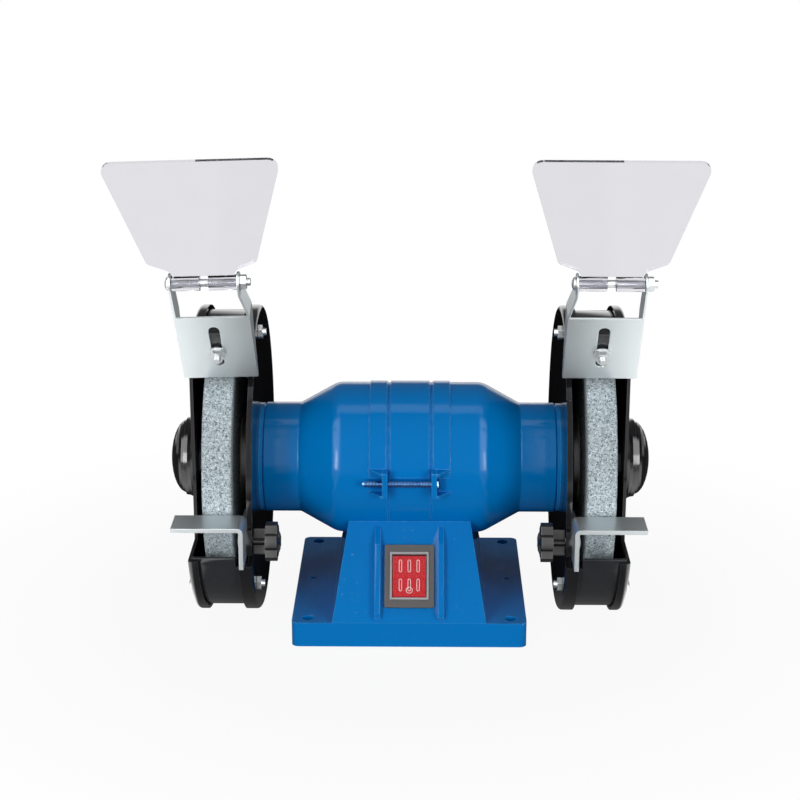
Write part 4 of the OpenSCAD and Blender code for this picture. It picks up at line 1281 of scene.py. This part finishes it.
@dataclass
class Studio:
    """The floor, the lamps, the world and the camera. Sizes in metres."""

    floor_size: float = 6.0
    floor_grey: Colour = (0.5, 0.5, 0.5)
    shadow_share: Ramp = Ramp(0.15, 0.34, 0.93, 1.0)
    floor_sides: Ramp = Ramp(0.122, 0.134, 0.14, 2.1)
    floor_front: Ramp = Ramp(-0.24, -0.15, 0.45, 1.0)
    floor_back: Ramp = Ramp(-0.03, 0.03, 1.0, 0.02)
    floor_wall: Ramp = Ramp(0.9, 1.3, 0.0, 1.2)
    soft_level: float = 0.42
    soft_front: Ramp = Ramp(-0.5, 0.3, 1.0, 0.28)
    box_level: float = 5.0
    box_inner: Ramp = Ramp(0.1, 0.3, 0.04, 1.0)
    box_outer: Ramp = Ramp(0.6, 0.74, 1.0, 0.03)
    box_front: Ramp = Ramp(-0.25, -0.05, 1.0, 0.0)
    wall_back: Ramp = Ramp(0.0, 0.3, 0.03, 1.2)
    wall_top: Ramp = Ramp(0.12, 0.26, 1.0, 0.12)
    lamp_aim: Spot = (0.0, 0.0, 0.1)
    lamps: tuple[SoftBox, ...] = (
        SoftBox("key", (-0.6, -1.15, 0.36), (0.3, 0.6), 6.2),
        SoftBox("fill", (0.75, -1.05, 0.3), (0.3, 0.6), 4.4),
        SoftBox("top", (0.0, 0.1, 1.25), (1.0, 0.3), 1.5),
    )
    lens_mm: float = 85.5
    sensor_mm: float = 36.0
    camera_at: Spot = (0.00665, -1.0292, 0.44198)
    pitch_down: float = 17.223
    yaw: float = 0.691

    def build(self) -> None:
        """Sets the view, then makes the floor, the world, the lamps and the camera."""
        bpy.context.scene.view_settings.view_transform = "Standard"
        self.make_floor()
        self.make_world()
        self.make_lamps()
        self.make_camera()

    def make_floor(self) -> None:
        """Lays a pale floor that keeps a soft shadow and is dark behind the machine in mirrors."""
        deselect_all()
        bpy.ops.mesh.primitive_plane_add(size=self.floor_size, location=(0.0, 0.0, 0.0))
        floor = bpy.context.object
        floor.name = "floor"
        paper = bpy.data.materials.new("pale_floor")
        paper.use_nodes = True
        graph = Graph(paper.node_tree)
        matt = graph.add("BsdfDiffuse", {"Color": self.floor_grey}).outputs[0]
        far = graph.add("VectorMath", {0: graph.place()}, operation="LENGTH").outputs["Value"]
        x, y, _ = graph.add("SeparateXYZ", {0: graph.place()}).outputs
        sides = graph.remap(graph.maths("ABSOLUTE", x), self.floor_sides)
        lit = graph.times(sides, graph.remap(y, self.floor_front))
        lit = graph.times(lit, graph.remap(y, self.floor_back))
        lit = graph.maths("MAXIMUM", lit, graph.remap(y, self.floor_wall))
        whole = graph.by_ray("Emission", matt, lit, graph.remap(far, self.shadow_share))
        graph.add("OutputMaterial", {"Surface": whole})
        floor.data.materials.append(paper)

    def make_world(self) -> None:
        """Fills the world with soft light.

        Mirrors see two tall soft boxes in front, dark between them, and a pale wall behind.
        """
        world = bpy.data.worlds.new("studio")
        bpy.context.scene.world = world
        world.use_nodes = True
        graph = Graph(world.node_tree)
        way = graph.add("TexCoord").outputs["Generated"]
        x, y, z = graph.add("SeparateXYZ", {0: way}).outputs
        across = graph.maths("ABSOLUTE", x)
        soft = graph.times(graph.remap(y, self.soft_front), self.soft_level)
        upright = graph.times(graph.remap(across, self.box_inner),
                              graph.remap(across, self.box_outer))
        boxes = graph.times(graph.times(upright, self.box_level), graph.remap(y, self.box_front))
        wall = graph.times(graph.remap(y, self.wall_back), graph.remap(z, self.wall_top))
        mirrored = graph.maths("MAXIMUM", boxes, wall)
        whole = graph.by_ray("Background", graph.glow("Background", soft), mirrored, 1.0)
        graph.add("OutputWorld", {"Surface": whole})

    def make_lamps(self) -> None:
        """Hangs the soft boxes: left front, right front and overhead."""
        for box in self.lamps:
            light = bpy.data.lights.new(box.name, "AREA")
            light.shape = "RECTANGLE"
            light.size, light.size_y = box.size
            light.energy = box.power
            lamp = bpy.data.objects.new(box.name, light)
            bpy.context.scene.collection.objects.link(lamp)
            lamp.location = box.at
            way = Vector(self.lamp_aim) - Vector(box.at)
            lamp.rotation_euler = way.to_track_quat("-Z", "Y").to_euler()

    def make_camera(self) -> None:
        """Sets the camera up at the operator's side, a little above the machine."""
        data = bpy.data.cameras.new("camera")
        data.lens = self.lens_mm
        data.sensor_width = self.sensor_mm
        camera = bpy.data.objects.new("camera", data)
        bpy.context.scene.collection.objects.link(camera)
        camera.location = self.camera_at
        camera.rotation_euler = (radians(90.0 - self.pitch_down), 0.0, radians(self.yaw))
        bpy.context.scene.camera = camera


def main() -> None:
    """Dresses the machine and sets it in its studio."""
    logging.basicConfig(level=logging.INFO, format="%(message)s")
    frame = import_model()
    deselect_all()
    MotorHousing().build()
    RestKnobs().build()
    RockerMarks().build()
    CarriedNodes(frame["nodes"]).dress()
    Studio().build()


if __name__ == "__main__":
    main()
